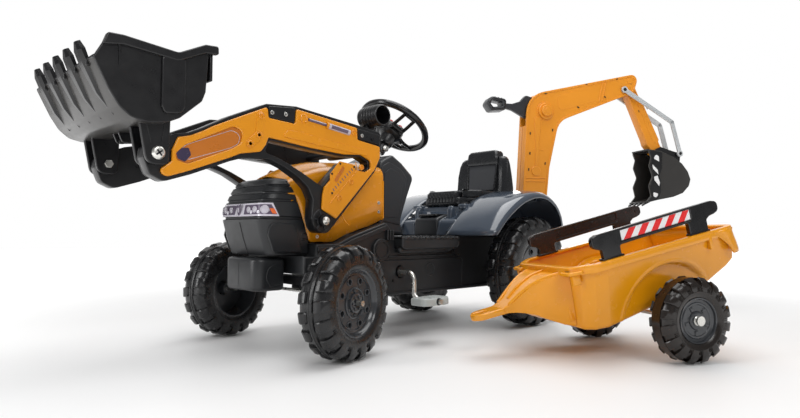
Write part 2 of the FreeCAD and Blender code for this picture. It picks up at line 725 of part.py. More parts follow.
def drive_parts():
    crank = new_body("crank_shaft", Placement(Vector(CRANK[0], 0, CRANK[1]), Rotation()))
    throw = DIMENSIONS["crank_throw"]
    path = [(-264, throw), (-172, throw, 22), (-172, 0, 22), (172, 0, 22), (172, -throw, 22),
            (264, -throw)]
    pipe(crank, "YZ_Plane", path, "dims.steel_rod_radius")
    chainwheel = new_body("chainwheel")
    gear_disc(chainwheel, CRANK, DIMENSIONS["chainwheel_radius"], 24)
    side_cut(chainwheel, 0, 120, [(CRANK, "dims.steel_rod_radius")])
    chain = new_body("drive_chain")
    gap = 1.0
    thick = DIMENSIONS["chain_thickness"]
    axle = (0.0, REAR_AXLE_Z)
    outer = belt(axle, DIMENSIONS["sprocket_radius"] + gap + thick, CRANK,
                 DIMENSIONS["chainwheel_radius"] + gap + thick)
    inner = belt(axle, DIMENSIONS["sprocket_radius"] + gap, CRANK, DIMENSIONS["chainwheel_radius"] + gap)
    side_plate(chain, 3.5 - DIMENSIONS["chain_offset"], 7, [outer, inner])
    for name, side in (("pedal_left", 1), ("pedal_right", -1)):
        centre = Vector(CRANK[0], side * 226, CRANK[1] - side * throw)
        pedal = new_body(name, Placement(centre, Rotation()))
        length, width = DIMENSIONS["pedal_length"] / 2, DIMENSIONS["pedal_width"] / 2
        extrude(pedal, "XY_Plane", "-dims.pedal_thickness / 2", "dims.pedal_thickness",
                [[(-length, -width, 8), (length, -width, 8), (length, width, 8), (-length, width, 8)]])
        side_cut(pedal, 60, 120, [((0, 0), "dims.steel_rod_radius + dims.running_gap")])


def bearings():
    rings = []
    gap = ROD_SIZE + DIMENSIONS["running_gap"]
    for x, z, outer in ((*CRANK, 14.0), (0.0, REAR_AXLE_Z, 12.0)):
        for side in (1, -1):
            inner_end = side * 119
            outer_end = side * 127
            rings.append(cylinder((x, inner_end, z), (x, outer_end, z), outer, gap))
    group("bearing_bushes", rings)


# ---------------------------------------------------------------- front loader
ARM_OUTLINE = [
    (1100, 402), (1088, 372), (1062, 360), (1010, 377), (930, 409), (898, 419), (839, 421), (802, 408),
    (763, 387), (738, 366), (725, 341), (728, 300, 12), (718, 267, 26), (684, 267, 20), (540, 418),
    (523, 450), (523, 516), (601, 526), (773, 543), (848, 537), (934, 498), (990, 468), (1016, 456),
    (1043, 450), (1078, 434), (1098, 420),
]
ARM_SLOT = [
    (643, 431), (701, 373), (714, 378), (750, 397), (789, 415), (827, 429), (852, 434), (840, 461),
    (743, 452), (644, 446), (590, 450), (564, 440), (564, 424), (578, 417), (622, 421),
]
COVER_OUTLINE = [
    (1050, 398), (1050, 418), (1039, 444), (1014, 450), (989, 462), (970, 473), (932, 491), (848, 530),
    (846, 507), (775, 507), (773, 537), (601, 520), (601, 487), (529, 487), (528, 453), (545, 422),
    (664, 300), (705, 321), (703, 353), (698, 371), (641, 430), (621, 419), (576, 414), (559, 424),
    (559, 442), (590, 454), (644, 449), (743, 456), (845, 466), (851, 450), (863, 434), (909, 426),
    (931, 416), (1013, 384), (1060, 368), (1074, 380),
]


def loader_arms():
    inner = DIMENSIONS["arm_inner"]
    thick = DIMENSIONS["arm_thickness"]
    cover = DIMENSIONS["cover_thickness"]
    for name, side in (("left", 1), ("right", -1)):
        high = inner + thick if side > 0 else -inner
        arm = new_body(f"loader_arm_{name}")
        side_plate(arm, high, "dims.arm_thickness", [ARM_OUTLINE, ARM_SLOT])
        side_cut(arm, 180, 360, [(LOADER_PIVOT, "dims.loader_pivot_radius + dims.running_gap")])
        side_cut(arm, 180, 360, [(BUCKET_PIVOT, "5 + dims.running_gap")])
        side_cut(arm, 180, 360, [(LEVER_PIVOT, "dims.loader_pivot_radius")])
        side_cut(arm, 180, 360, [((880, 440), "dims.loader_pivot_radius")])
        shell = new_body(f"arm_cover_{name}")
        high = inner + thick + cover if side > 0 else -inner - thick
        side_plate(shell, high, "dims.cover_thickness", [COVER_OUTLINE])


def loader_hardware():
    reach = DIMENSIONS["arm_inner"] + DIMENSIONS["arm_thickness"]
    tube = DIMENSIONS["loader_pivot_radius"]
    pivot = new_body("loader_pivot_tube")
    end = reach + 8
    side_plate(pivot, end, 2 * end, [(LOADER_PIVOT, "dims.loader_pivot_radius")])
    for high in (end + 7, -end):
        side_plate(pivot, high, 7, [(LOADER_PIVOT, 13.0)])
    shapes = []
    for x, z in (LEVER_PIVOT, (880.0, 440.0)):
        shapes.append(cylinder((x, -reach, z), (x, reach, z), tube))
    group("loader_cross_tubes", shapes)
    x, z = BUCKET_PIVOT
    bolts = []
    for side in (1, -1):
        shank = cylinder((x, side * 98, z), (x, side * 151, z), 5.0)
        head = cylinder((x, side * 150.5, z), (x, side * 156, z), 13.0)
        nut = hexagon((x, side * 97.8, z), (0, -side, 0), 18.0, 6.0)
        bolts.append(shank.fuse(head).fuse(nut))
    group("bucket_pivot_bolts", bolts)


BUCKET_SIDE = [
    (1196, 556), (1176, 597), (1150, 599), (1054, 590), (1003, 616), (977, 618), (977, 604), (996, 599),
    (999, 530), (1006, 511), (1048, 474), (1073, 462, 20), (1108, 459, 30), (1134, 464, 30),
    (1154, 480, 30), (1171, 506),
]


def loader_bucket():
    body = new_body("loader_bucket")
    side_plate(body, "dims.loader_bucket_half_width", "2 * dims.loader_bucket_half_width", [BUCKET_SIDE])
    cavity = [(1189, 560), (1172, 610), (1100, 640), (1001, 640), (1001, 532), (1008, 515), (1050, 479),
              (1073, 468, 16), (1108, 465, 26), (1131, 470, 26), (1149, 484, 26), (1166, 509)]
    side_cut(body, 164, 328, [cavity])
    rim_edge = [(1180, 586), (1176, 600), (1150, 602), (1054, 593), (1003, 619), (977, 621), (977, 612),
                (1003, 609), (1054, 583), (1150, 591)]
    for high in (174, -164):
        side_plate(body, high, 10, [rim_edge])
    tooth = [(1152, 480), (1171, 506), (1190, 545), (1204, 586), (1213, 582), (1207, 556), (1196, 538),
             (1178, 500)]
    for k in range(5):
        side_plate(body, 130 - 61 * k + 0.0, 16, [tooth])
    x, z = BUCKET_PIVOT
    ear = [(x - 20, 480), (x - 20, z, 2), (x - 19, z - 21, 18), (x + 20, z - 21, 18), (x + 27, z + 10),
           (x + 40, 476)]
    for high in (150, 106, -98, -142):
        side_plate(body, high, 8, [ear])
    side_cut(body, 175, 350, [(BUCKET_PIVOT, 5.0)])
    lug = [(1070, 474), (1076, 440, 6), (1092, 440, 6), (1104, 474)]
    for high in (16, -11):
        side_plate(body, high, 5, [lug])
    return body


ROD_OFFSET = (6.0, 38.0)


def loader_lever():
    body = new_body("loader_lever")
    x, z = LEVER_PIVOT
    grip_end = 120
    side_plate(body, 78, 92, [(LEVER_PIVOT, 15.0)])
    crank = [(x - 10, z + 8), (x - 6, z + 46, 8), (x + 16, z + 46, 8), (x + 12, z + 8)]
    side_plate(body, 6, 12, [crank])
    stem = [(552, 458), (486, 528, 12), (481, 545), (507, 543), (512, 534, 12), (572, 484)]
    side_plate(body, 76, 26, [stem])
    grip = (496.0, 567.0)
    side_plate(body, grip_end, 72, [(grip, "dims.grip_radius"), (grip, 24.0)])
    side_plate(body, grip_end - 66, 6, [(grip, 24.5)])
    side_cut(body, 80, 100, [(LEVER_PIVOT, "dims.loader_pivot_radius + dims.running_gap")])
    side_cut(body, 7, 14, [((x + ROD_OFFSET[0], z + ROD_OFFSET[1]), "3 + dims.running_gap")])
    return body


def bucket_rod():
    """Two flat straps that join the lever to the bucket's lugs, with a pin through the lever."""
    body = new_body("bucket_rod")
    a = Vector(LEVER_PIVOT[0] + ROD_OFFSET[0], LEVER_PIVOT[1] + ROD_OFFSET[1], 0)
    b = Vector(BUCKET_PIVOT[0] + ROD_OFFSET[0], BUCKET_PIVOT[1] + ROD_OFFSET[1], 0)
    along = (b - a).normalize()
    across = Vector(-along.y, along.x, 0) * 6
    ends = [a - along * 7 + across, b + along * 6 + across, b + along * 6 - across, a - along * 7 - across]
    strap = [(p.x, p.y, 5) for p in ends]
    for high in (9.5, -6.5):
        side_plate(body, high, 3, [strap])
    side_plate(body, 9.5, 19, [((a.x, a.y), 3.0)])
    return body


# ---------------------------------------------------------------- excavator, in its own swung plane
BOOM = [
    (-31, 292), (67, 292), (67, 402), (78, 510), (118, 683, 70), (440, 811, 28), (466, 888, 30),
    (-7, 774, 85), (-29, 404),
]


def boom_shells():
    half = DIMENSIONS["boom_half_width"]
    opening = [(376, 765), (398, 806), (428, 820), (444, 868), (492, 868), (492, 765)]
    handle_slot = [(-60, 674), (4, 674), (26, 764), (26, 800), (-60, 800)]
    foot_slot = [(-18, 280), (18, 280), (18, 300), (-18, 300)]
    for name, high in (("boom_shell_left", half), ("boom_shell_right", 0.0)):
        body = new_body(name, SWING)
        side_plate(body, high, half, [BOOM])
        inner_high = half - DIMENSIONS["wall"] if high > 0 else 0.0
        side_cut(body, inner_high, half - DIMENSIONS["wall"], [inset(BOOM, DIMENSIONS["wall"])])
        side_cut(body, inner_high, half - DIMENSIONS["wall"], [opening])
        side_cut(body, inner_high, half - DIMENSIONS["wall"], [handle_slot])
        for centre in (HANDLE_PIVOT, STICK_PIVOT, LINK_TOP):
            side_cut(body, 40, 80, [(centre, 5.0)])
        side_cut(body, half - 6 if high > 0 else 0.0, half - 6, [foot_slot])


def swing_socket():
    body = new_body("swing_socket", SWING)
    extrude(body, "XY_Plane", 264, 26, [((0, 0), 34.0)])
    extrude(body, "XY_Plane", 290, 70, [((0, 0), 16.0)])
    extrude(body, "XY_Plane", 290, 2, [[(-31, -30), (67, -30), (67, 30), (-31, 30)]])
    carve(body, "XY_Plane", 260, 97, [((0, 0), "dims.swing_pin_radius + dims.running_gap")])


def excavator_pins():
    half = DIMENSIONS["boom_half_width"]
    pins = []
    for b, z in (HANDLE_PIVOT, STICK_PIVOT, LINK_TOP):
        pins.append(cylinder((b, -half - 1, z), (b, half + 1, z), 5.0))
    b, z = HANDLE_PIVOT
    right_boss = cylinder((b, -half - 12, z), (b, -half, z), 22.0)
    boss = right_boss.fuse(cylinder((b, half, z), (b, half + 12, z), 22.0))
    pins[0] = pins[0].fuse(boss)
    group("boom_pins", pins, SWING)


LINKAGE_OFFSET = (-4.0, 11.0)


def excavator_lever():
    body = new_body("excavator_handle", SWING)
    b, z = HANDLE_PIVOT
    side_plate(body, 4, 18, [(HANDLE_PIVOT, 15.0)])
    stem = [(b - 6, z - 14), (b + 6, z + 14), (b - 70, z + 36, 20), (-60, 737, 12), (-100, 741),
            (-106, 725), (-60, 716, 14), (b - 60, z - 6, 20)]
    side_plate(body, 4, 18, [stem])
    loop_outer = [(-96, 718, 8), (-92, 752, 10), (-165, 762, 14), (-182, 735, 14), (-160, 712, 12)]
    side_plate(body, 26, 52, [loop_outer])
    carve_outer = [(-104, 727, 4), (-104, 745, 5), (-158, 751, 7), (-168, 734, 7), (-156, 722, 5)]
    side_cut(body, 30, 60, [carve_outer])
    side_cut(body, 30, 60, [(HANDLE_PIVOT, "5 + dims.running_gap")])
    side_cut(body, 30, 60, [((b + LINKAGE_OFFSET[0], z + LINKAGE_OFFSET[1]), "3 + dims.running_gap")])
    return body


def stick_parts():
    stick = new_body("excavator_stick", SWING)
    s, t = STICK_PIVOT
    e, f = DIGGER_BUCKET_PIVOT
    outline = [(s - 20, t - 12), (s - 13, t + 11, 9), (s + 12, t + 11, 9), (s + 22, t - 8),
               (e + 22, f + 6), (e + 12, f - 17, 12), (e - 12, f - 15, 12), (e - 44, f + 20),
               (e - 50, f + 40)]
    side_plate(stick, "dims.stick_half_width", "2 * dims.stick_half_width", [outline])
    side_cut(stick, 30, 60, [(STICK_PIVOT, "5 + dims.running_gap")])
    side_cut(stick, 30, 60, [(DIGGER_BUCKET_PIVOT, "4 + dims.running_gap")])
    return stick


def digger_bucket():
    body = new_body("excavator_bucket", SWING)
    e, f = DIGGER_BUCKET_PIVOT
    outline = [(486, 592), (611, 545, 50), (672, 480, 40), (640, 420, 60), (526, 399), (467, 386)]
    side_plate(body, "dims.digger_bucket_half_width", "2 * dims.digger_bucket_half_width", [outline])
    cavity = [(470, 600), (478, 591), (486, 587), (608, 541, 46), (666, 480, 36), (636, 425, 56),
              (526, 404), (450, 389)]
    side_cut(body, 46, 92, [cavity])
    ear = [(e - 14, 566), (e - 14, f + 4, 12), (e + 12, f + 14, 10),
           (LINK_END[0] - 16, LINK_END[1] + 8, 10), (LINK_END[0] + 12, LINK_END[1] + 4, 8),
           (LINK_END[0] + 4, 520), (610, 520)]
    for high in (25.5, -19.5):
        side_plate(body, high, 6, [ear])
    tip = [(468, 388), (490, 393), (489, 379), (463, 374)]
    for k in range(4):
        side_plate(body, 46 - 27 * k, 11, [tip])
    side_plate(body, 25.5, 51, [(DIGGER_BUCKET_PIVOT, 4.0)])
    return body


def bucket_links():
    """Cranked bars outside the boom, with a stub at the lower end that stands beside the bucket's ear."""
    shapes = []
    bend = (609.0, 700.0)
    for side in (1, -1):
        inner = side * (DIMENSIONS["boom_half_width"] + 1.5)
        outer = side * (DIMENSIONS["boom_half_width"] + 1.5 + DIMENSIONS["link_thickness"])
        bar = None
        for start, end in ((LINK_TOP, bend), (bend, LINK_END)):
            along = (Vector(*end, 0) - Vector(*start, 0)).normalize()
            across = Vector(-along.y, along.x, 0) * 8
            corners = [Vector(*start, 0) + across, Vector(*end, 0) + across, Vector(*end, 0) - across,
                       Vector(*start, 0) - across]
            loop = [Vector(c.x, inner, c.y) for c in corners]
            solid = Part.Face(Part.makePolygon(loop + loop[:1])).extrude(Vector(0, outer - inner, 0))
            bar = solid if bar is None else bar.fuse(solid)
        for b, z, radius in ((*LINK_TOP, 12.0), (*bend, 8.0), (*LINK_END, 12.0)):
            bar = bar.fuse(cylinder((b, inner, z), (b, outer, z), radius))
        bar = bar.cut(cylinder((LINK_TOP[0], inner - side, LINK_TOP[1]),
                               (LINK_TOP[0], outer + side, LINK_TOP[1]), 5.05))
        shapes.append(bar.removeSplitter())
    group("bucket_links", shapes, SWING)


def stick_rod():
    body = new_body("stick_rod", SWING)
    a = Vector(HANDLE_PIVOT[0] + LINKAGE_OFFSET[0], HANDLE_PIVOT[1] + LINKAGE_OFFSET[1], 0)
    b = Vector(STICK_PIVOT[0] + LINKAGE_OFFSET[0], STICK_PIVOT[1] + LINKAGE_OFFSET[1], 0)
    along = (b - a).normalize()
    across = Vector(-along.y, along.x, 0) * 4
    stop = b - along * 34
    ends = [a - along * 5 + across, stop + across, stop - across, a - along * 5 - across]
    side_plate(body, 7.5, 3, [[(p.x, p.y, 3) for p in ends]])
    side_plate(body, 7.5, 20, [((a.x, a.y), 3.0)])
    return body


# ---------------------------------------------------------------- trailer, in its own pitched frame
def trailer_tub():
    body = new_body("trailer_tub", TRAILER)

    def section(top_half, bottom_half, low, high, shrink=0.0):
        return [(-top_half + shrink, high), (-bottom_half + shrink, low + shrink, 14),
                (bottom_half - shrink, low + shrink, 14), (top_half - shrink, high)]

    # x, half width at the top, half width at the bottom, underside, top
    stations = (
        (-188, 138, 118, 76, 157),
        (-120, 140, 112, 46, 157),
        (150, 140, 104, 14, 157),
        (203, 118, 84, 22, 157),
    )
    loft(body, "YZ_Plane", [(x, section(a, b, lo, hi)) for x, a, b, lo, hi in stations])
    wall = DIMENSIONS["tub_wall"]
    inner = (
        (-184, 138, 118, 76, 160),
        (-120, 140, 112, 46, 160),
        (148, 140, 104, 14, 160),
        (199, 118, 84, 22, 160),
    )
    loft(body, "YZ_Plane", [(x, section(a, b, lo, hi, wall)) for x, a, b, lo, hi in inner], cut=True)
    for high in (150.0, -122.0):
        side_cut(body, high, 28, [((0, 0), 118.0)])
    for high in (126.0, -122.0):
        lower = [(-118, 30), (-118, 40), (-61, 106), (0, 122), (61, 106), (118, 32), (118, 16), (0, 20)]
        side_plate(body, high, 4, [lower])
    frame_outer = [(-196, -142, 30), (180, -142, 50), (222, -104, 30), (222, 104, 30), (180, 142, 50),
                   (-196, 142, 30)]
    frame_inner = [(-180, -134, 26), (172, -134, 44), (206, -98, 24), (206, 98, 24), (172, 134, 44),
                   (-180, 134, 26)]
    extrude(body, "XY_Plane", 155, 6, [frame_outer, frame_inner])
    return body


def trailer_parts():
    drawbar = new_body("trailer_drawbar", TRAILER)
    profile = [(210, 150), (255, 146), (296, 128), (320, 108), (346, 98), (418, 100, 5), (418, 86, 5),
               (346, 84), (300, 80), (270, 66), (212, 20)]
    side_plate(drawbar, 26, 52, [profile])
    carve(drawbar, "XY_Plane", 60, 60, [((392, 0), "dims.eye_radius")])

    rails = new_body("trailer_rails", TRAILER)
    plate = [(170, 190, 14), (160, 215, 12), (-150, 222, 12), (-160, 196, 14), (-129, 184, 8),
             (-129, 162), (-78, 162), (-78, 190), (105, 186), (105, 162), (150, 162), (152, 184, 6)]
    for high in (132.0, -118.0):
        side_plate(rails, high, 14, [plate])

    axle = new_body("trailer_axle", TRAILER)
    reach = DIMENSIONS["trailer_wheel_offset"] + 31
    side_plate(axle, reach, 2 * reach, [((0, 0), 5.0)])
    for high in (reach, -reach + 3):
        side_plate(axle, high, 3, [((0, 0), 10.0)])
    for y in (118.0, -106.0):
        side_plate(axle, y, 12, [[(-14, -9, 8), (14, -9, 8), (14, 30), (-14, 30)]])

    width = DIMENSIONS["trailer_wheel_width"]
    radius = DIMENSIONS["trailer_wheel_radius"]
    for name, side in (("left", 1), ("right", -1)):
        local = Placement(Vector(0, side * DIMENSIONS["trailer_wheel_offset"], 0), Rotation())
        place = TRAILER * local
        tyre(f"trailer_tyre_{name}", place, radius, width, 50.0)
        disc = new_body(f"trailer_rim_{name}", place)
        s = side
        revolve(disc, [(-s * 24, 5.05), (-s * 24, 50), (s * 24, 50), (s * 24, 46), (s * 18, 44),
                       (s * 18, 5.05)])


# ---------------------------------------------------------------- build every node
chassis_shell()
nose()
headlight_band()
bumper_weight()
bonnet()
dash_console()
fender_unit()
seat()
rear_brackets()
steering_parts()
knuckle("stub_axle_left", 1)
knuckle("stub_axle_right", -1)
front_axle_beam()
steering_links()
front_wheels()
rear_wheels()
rear_axle()
drive_parts()
bearings()
loader_arms()
loader_hardware()
loader_bucket()
loader_lever()
bucket_rod()
boom_shells()
swing_socket()
excavator_pins()
excavator_lever()
stick_parts()
digger_bucket()
bucket_links()
stick_rod()
trailer_tub()
trailer_parts()

# ---------------------------------------------------------------- check and write
doc.recompute()
for item in doc.Objects:
    if "Invalid" in item.State or "Error" in item.State:
        raise RuntimeError(f"{item.Name} ({item.TypeId}) failed: {item.State}")
os.makedirs("parts", exist_ok=True)
for node in NODES:
    shape = node.Shape
    if shape.isNull() or not shape.isValid() or not shape.Solids:
        raise RuntimeError(f"{node.Label} has no valid solid")
    box = shape.BoundBox
    print(
        f"{node.Label}: {len(shape.Solids)} solid(s), x {box.XMin:.0f}..{box.XMax:.0f},"
        f" y {box.YMin:.0f}..{box.YMax:.0f}, z {box.ZMin:.0f}..{box.ZMax:.0f}"
    )
    shape.exportStep(f"parts/{node.Label}.step")
print(f"{len(NODES)} nodes")
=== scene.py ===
import math

import bmesh
import bpy
from mathutils import Matrix, Vector


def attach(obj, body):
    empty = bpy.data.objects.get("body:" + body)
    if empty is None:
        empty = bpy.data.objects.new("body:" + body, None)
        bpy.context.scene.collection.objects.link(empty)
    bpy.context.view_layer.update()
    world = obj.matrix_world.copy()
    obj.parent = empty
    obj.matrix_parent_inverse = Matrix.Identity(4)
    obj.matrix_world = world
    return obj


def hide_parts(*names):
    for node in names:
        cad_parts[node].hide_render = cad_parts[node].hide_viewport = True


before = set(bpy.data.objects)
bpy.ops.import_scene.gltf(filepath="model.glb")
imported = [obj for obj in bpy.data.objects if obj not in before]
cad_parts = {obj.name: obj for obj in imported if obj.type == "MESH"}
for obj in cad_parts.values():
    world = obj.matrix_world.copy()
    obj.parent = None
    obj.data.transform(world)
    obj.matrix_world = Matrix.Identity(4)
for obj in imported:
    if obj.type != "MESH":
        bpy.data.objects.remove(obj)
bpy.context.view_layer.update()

# Lengths are in millimetres in the frame of the CAD model and become metres when a mesh is made.
MM = 0.001


# ---------------------------------------------------------------- materials
def plastic(name, colour, roughness=0.35, grain=0.15, grain_size=900.0, coat=0.0, tint=0.12, scuffs=0.05):
    """Moulded plastic: fine grain, slow colour variation and slight scuffing in the gloss."""
    material = bpy.data.materials.new(name)
    material.use_nodes = True
    nodes, links = material.node_tree.nodes, material.node_tree.links
    shader = nodes["Principled BSDF"]
    shader.inputs["Coat Weight"].default_value = coat
    shader.inputs["Coat Roughness"].default_value = 0.08
    place = nodes.new("ShaderNodeTexCoord")

    def noise(scale, detail):
        node = nodes.new("ShaderNodeTexNoise")
        node.inputs["Scale"].default_value = scale
        node.inputs["Detail"].default_value = detail
        links.new(place.outputs["Object"], node.inputs["Vector"])
        return node

    def spread(source, low, high):
        node = nodes.new("ShaderNodeMapRange")
        node.inputs["From Min"].default_value = 0.3
        node.inputs["From Max"].default_value = 0.7
        node.inputs["To Min"].default_value = low
        node.inputs["To Max"].default_value = high
        links.new(source.outputs["Fac"], node.inputs["Value"])
        return node

    cloudy = noise(6.0, 3.0)
    mix = nodes.new("ShaderNodeMix")
    mix.data_type = "RGBA"
    mix.inputs["A"].default_value = (*(c * (1 - tint) for c in colour), 1)
    mix.inputs["B"].default_value = (*(min(1.0, c * (1 + tint)) for c in colour), 1)
    links.new(spread(cloudy, 0.0, 1.0).outputs["Result"], mix.inputs["Factor"])
    links.new(mix.outputs["Result"], shader.inputs["Base Color"])
    scuff = noise(45.0, 6.0)
    links.new(spread(scuff, roughness - scuffs, roughness + scuffs).outputs["Result"],
        shader.inputs["Roughness"])
    fine = noise(grain_size, 2.0)
    bump = nodes.new("ShaderNodeBump")
    bump.inputs["Strength"].default_value = grain
    bump.inputs["Distance"].default_value = 0.0004
    links.new(fine.outputs["Fac"], bump.inputs["Height"])
    links.new(bump.outputs["Normal"], shader.inputs["Normal"])
    return material


def metal(name, colour, roughness):
    """Zinc-plated or painted steel with a streaky, slightly uneven finish."""
    material = plastic(name, colour, roughness, grain=0.1, grain_size=300.0, tint=0.1, scuffs=0.1)
    material.node_tree.nodes["Principled BSDF"].inputs["Metallic"].default_value = 1.0
    return material


BLACK = plastic("black_moulded", (0.007, 0.007, 0.008), 0.32, grain=0.08)
BLACK_GLOSS = plastic("black_gloss_moulded", (0.008, 0.008, 0.009), 0.16, grain=0.05)
CHARCOAL = plastic("charcoal_moulded", (0.015, 0.016, 0.018), 0.38, grain=0.12)
CONSOLE = plastic("console_grey", (0.024, 0.026, 0.030), 0.36, grain=0.12)
ORANGE = plastic("orange_gloss", (0.76, 0.285, 0.006), 0.24, grain=0.06, coat=0.25, tint=0.04)
BOOM = plastic("boom_orange", (0.78, 0.285, 0.014), 0.36, grain=0.10, tint=0.05)
TUB = plastic("tub_amber", (0.80, 0.315, 0.004), 0.24, grain=0.06, coat=0.2, tint=0.05)
SLATE = plastic("slate_gloss", (0.058, 0.074, 0.100), 0.13, grain=0.04, coat=0.6, tint=0.06)
SEAT = plastic("seat_black", (0.010, 0.011, 0.013), 0.26, grain=0.08)
SEAT_PANEL = plastic("seat_panel_grey", (0.034, 0.036, 0.041), 0.45, grain=0.5, grain_size=1800.0)
TYRE = plastic("tyre_black", (0.011, 0.011, 0.012), 0.27, grain=0.08)
TYRE_BROWN = plastic("trailer_tyre_black", (0.013, 0.009, 0.007), 0.24, grain=0.08)
RIM = plastic("rim_charcoal", (0.034, 0.037, 0.042), 0.22, grain=0.06, coat=0.3)
# Near-black for holes, slots and cross cuts: painted shade inside the openings, not a colour of the toy.
HOLE_SHADE = plastic("hole_painted_shade", (0.004, 0.004, 0.004), 0.6)
PEDAL = plastic("pedal_silver", (0.50, 0.53, 0.52), 0.3, grain=0.2)
LINK = plastic("link_grey", (0.50, 0.52, 0.53), 0.36, grain=0.15)
RED = plastic("button_red", (0.75, 0.015, 0.008), 0.25, coat=0.3)
STRIPE_RED = plastic("stripe_red", (0.80, 0.018, 0.018), 0.3, tint=0.03)
WHITE = plastic("stripe_white", (0.88, 0.88, 0.88), 0.3, tint=0.02)
# Lighter, warmer black for the far trailer rail only: painted warm light on the same black plastic as the
# near rail.
RAIL_FAR_PAINTED_LIGHT = plastic("rail_far_painted_light", (0.020, 0.012, 0.010), 0.24, grain=0.1)
LAMP_SILVER = plastic("lamp_silver", (0.50, 0.47, 0.53), 0.22, coat=0.5, tint=0.2)
LAMP_DARK = plastic("lamp_violet", (0.10, 0.075, 0.12), 0.2, coat=0.5, tint=0.35)
LAMP_PALE = plastic("lamp_pale", (0.66, 0.63, 0.70), 0.2, coat=0.5, tint=0.15)
AMBER = plastic("indicator_amber", (0.85, 0.16, 0.03), 0.22, coat=0.5)
BADGE = plastic("badge_violet", (0.035, 0.025, 0.06), 0.25, coat=0.4, tint=0.3)
BADGE_PAD = plastic("badge_copper", (0.52, 0.155, 0.012), 0.3, coat=0.2, tint=0.08)
# Black for the buckets' wide faces: a real satin finish, plus a lighter base colour that is painted sheen
# of the light falling on them.
SKIN = plastic("bucket_satin_painted_sheen", (0.036, 0.034, 0.032), 0.30, grain=0.03, scuffs=0.02)
ZINC = metal("zinc_plate", (0.74, 0.73, 0.69), 0.30)
BLACK_STEEL = metal("black_steel", (0.035, 0.035, 0.038), 0.4)


# ---------------------------------------------------------------- mesh helpers
# Half the angle of a corner, in radians, outside which it isn't rounded.
SHARPEST, FLATTEST = 0.02, 1.56


def rounded(corners, steps=5):
    """Points of a closed outline from (u, v) or (u, v, radius) corners."""
    points = []
    count = len(corners)
    for i, corner in enumerate(corners):
        here = Vector(corner[:2])
        radius = corner[2] if len(corner) > 2 else 0.0
        if radius <= 0:
            points.append(here)
            continue
        back = Vector(corners[i - 1][:2]) - here
        ahead = Vector(corners[(i + 1) % count][:2]) - here
        half = back.angle(ahead) / 2
        if not SHARPEST < half < FLATTEST:
            points.append(here)
            continue
        reach = min(radius / math.tan(half), back.length * 0.49, ahead.length * 0.49)
        radius = reach * math.tan(half)
        centre = here + (back.normalized() + ahead.normalized()).normalized() * (radius / math.sin(half))
        first = here + back.normalized() * reach - centre
        last = here + ahead.normalized() * reach - centre
        turn = first.angle_signed(last)
        for k in range(steps + 1):
            angle = -turn * k / steps
            points.append(centre + Matrix.Rotation(angle, 2) @ first)
    return points


def polar(centre, radius, angle):
    """The point at a distance and angle from a centre."""
    return centre[0] + radius * math.cos(angle), centre[1] + radius * math.sin(angle)


def circle(centre, radius, count=32):
    """Points round a centre, starting at its right."""
    return [Vector(polar(centre, radius, 2 * math.pi / count * k)) for k in range(count)]


def finish_mesh(name, mesh, material, body, place=None, nodes=(), slot=None, crisp=38.0):
    """Scale a millimetre mesh into the frame, shade it and fasten it to its CAD body."""
    if place is not None:
        mesh.transform(place)
    mesh.transform(Matrix.Scale(MM, 4))
    mesh.polygons.foreach_set("use_smooth", [True] * len(mesh.polygons))
    mesh.set_sharp_from_angle(angle=math.radians(crisp))
    mesh.name = name
    obj = bpy.data.objects.new(name, mesh)
    bpy.context.scene.collection.objects.link(obj)
    mesh.materials.clear()
    mesh.materials.append(material)
    if body is not None:
        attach(obj, body)
    if nodes:
        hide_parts(*nodes)
    return obj


def from_faces(name, points, faces, material, body, **options):
    """A piece from points in millimetres and the faces between them."""
    mesh = bpy.data.meshes.new(name)
    mesh.from_pydata([tuple(p) for p in points], [], faces)
    work = bmesh.new()
    work.from_mesh(mesh)
    bmesh.ops.remove_doubles(work, verts=work.verts, dist=0.001)
    bmesh.ops.recalc_face_normals(work, faces=work.faces)
    work.to_mesh(mesh)
    work.free()
    return finish_mesh(name, mesh, material, body, **options)


def curve_mesh(name, splines, dimensions, depth, extrude=0.0, cyclic=True):
    """A mesh from flat outlines that are filled and bevelled, or from a round rod along a path."""
    flat = dimensions == "2D"
    curve = bpy.data.curves.new(name, "CURVE")
    curve.dimensions = dimensions
    curve.fill_mode = "BOTH" if flat else "FULL"
    curve.extrude = extrude
    curve.bevel_depth = depth
    curve.bevel_resolution = 2 if flat else 5
    curve.use_fill_caps = True
    if flat:
        curve.offset = -depth
    for points in splines:
        spline = curve.splines.new("POLY")
        spline.points.add(len(points) - 1)
        for item, point in zip(spline.points, points):
            item.co = (point[0], point[1], point[2] if len(point) > 2 else 0.0, 1.0)
        spline.use_cyclic_u = cyclic
    holder = bpy.data.objects.new(name, curve)
    bpy.context.scene.collection.objects.link(holder)
    bpy.context.view_layer.update()
    mesh = bpy.data.meshes.new_from_object(holder.evaluated_get(bpy.context.evaluated_depsgraph_get()))
    bpy.data.objects.remove(holder)
    bpy.data.curves.remove(curve)
    return mesh


SIDE_VIEW = Matrix(((1, 0, 0, 0), (0, 0, -1, 0), (0, 1, 0, 0), (0, 0, 0, 1)))
TOP_VIEW = Matrix.Identity(4)


def sheet(view, name, outline, start, end, material, body, holes=(), bevel=2.0, place=TOP_VIEW, steps=5,
        **options):
    """A flat moulding with rounded edges: an outline, with holes, filled between two levels."""
    half = abs(end - start) / 2
    bevel = min(bevel, half - 0.01)
    shapes = [rounded(outline, steps)]
    shapes += [hole if isinstance(hole[0], Vector) else rounded(hole, steps) for hole in holes]
    mesh = curve_mesh(name, shapes, "2D", bevel, half - bevel)
    middle = (start + end) / 2
    shift = Matrix.Translation((0, middle, 0) if view is SIDE_VIEW else (0, 0, middle))
    return finish_mesh(name, mesh, material, body, place=place @ shift @ view, **options)


def plate(*values, **options):
    """A sheet with an (x, z) outline between two y values."""
    return sheet(SIDE_VIEW, *values, **options)


def slab(*values, **options):
    """A sheet with an (x, y) outline between two heights."""
    return sheet(TOP_VIEW, *values, **options)


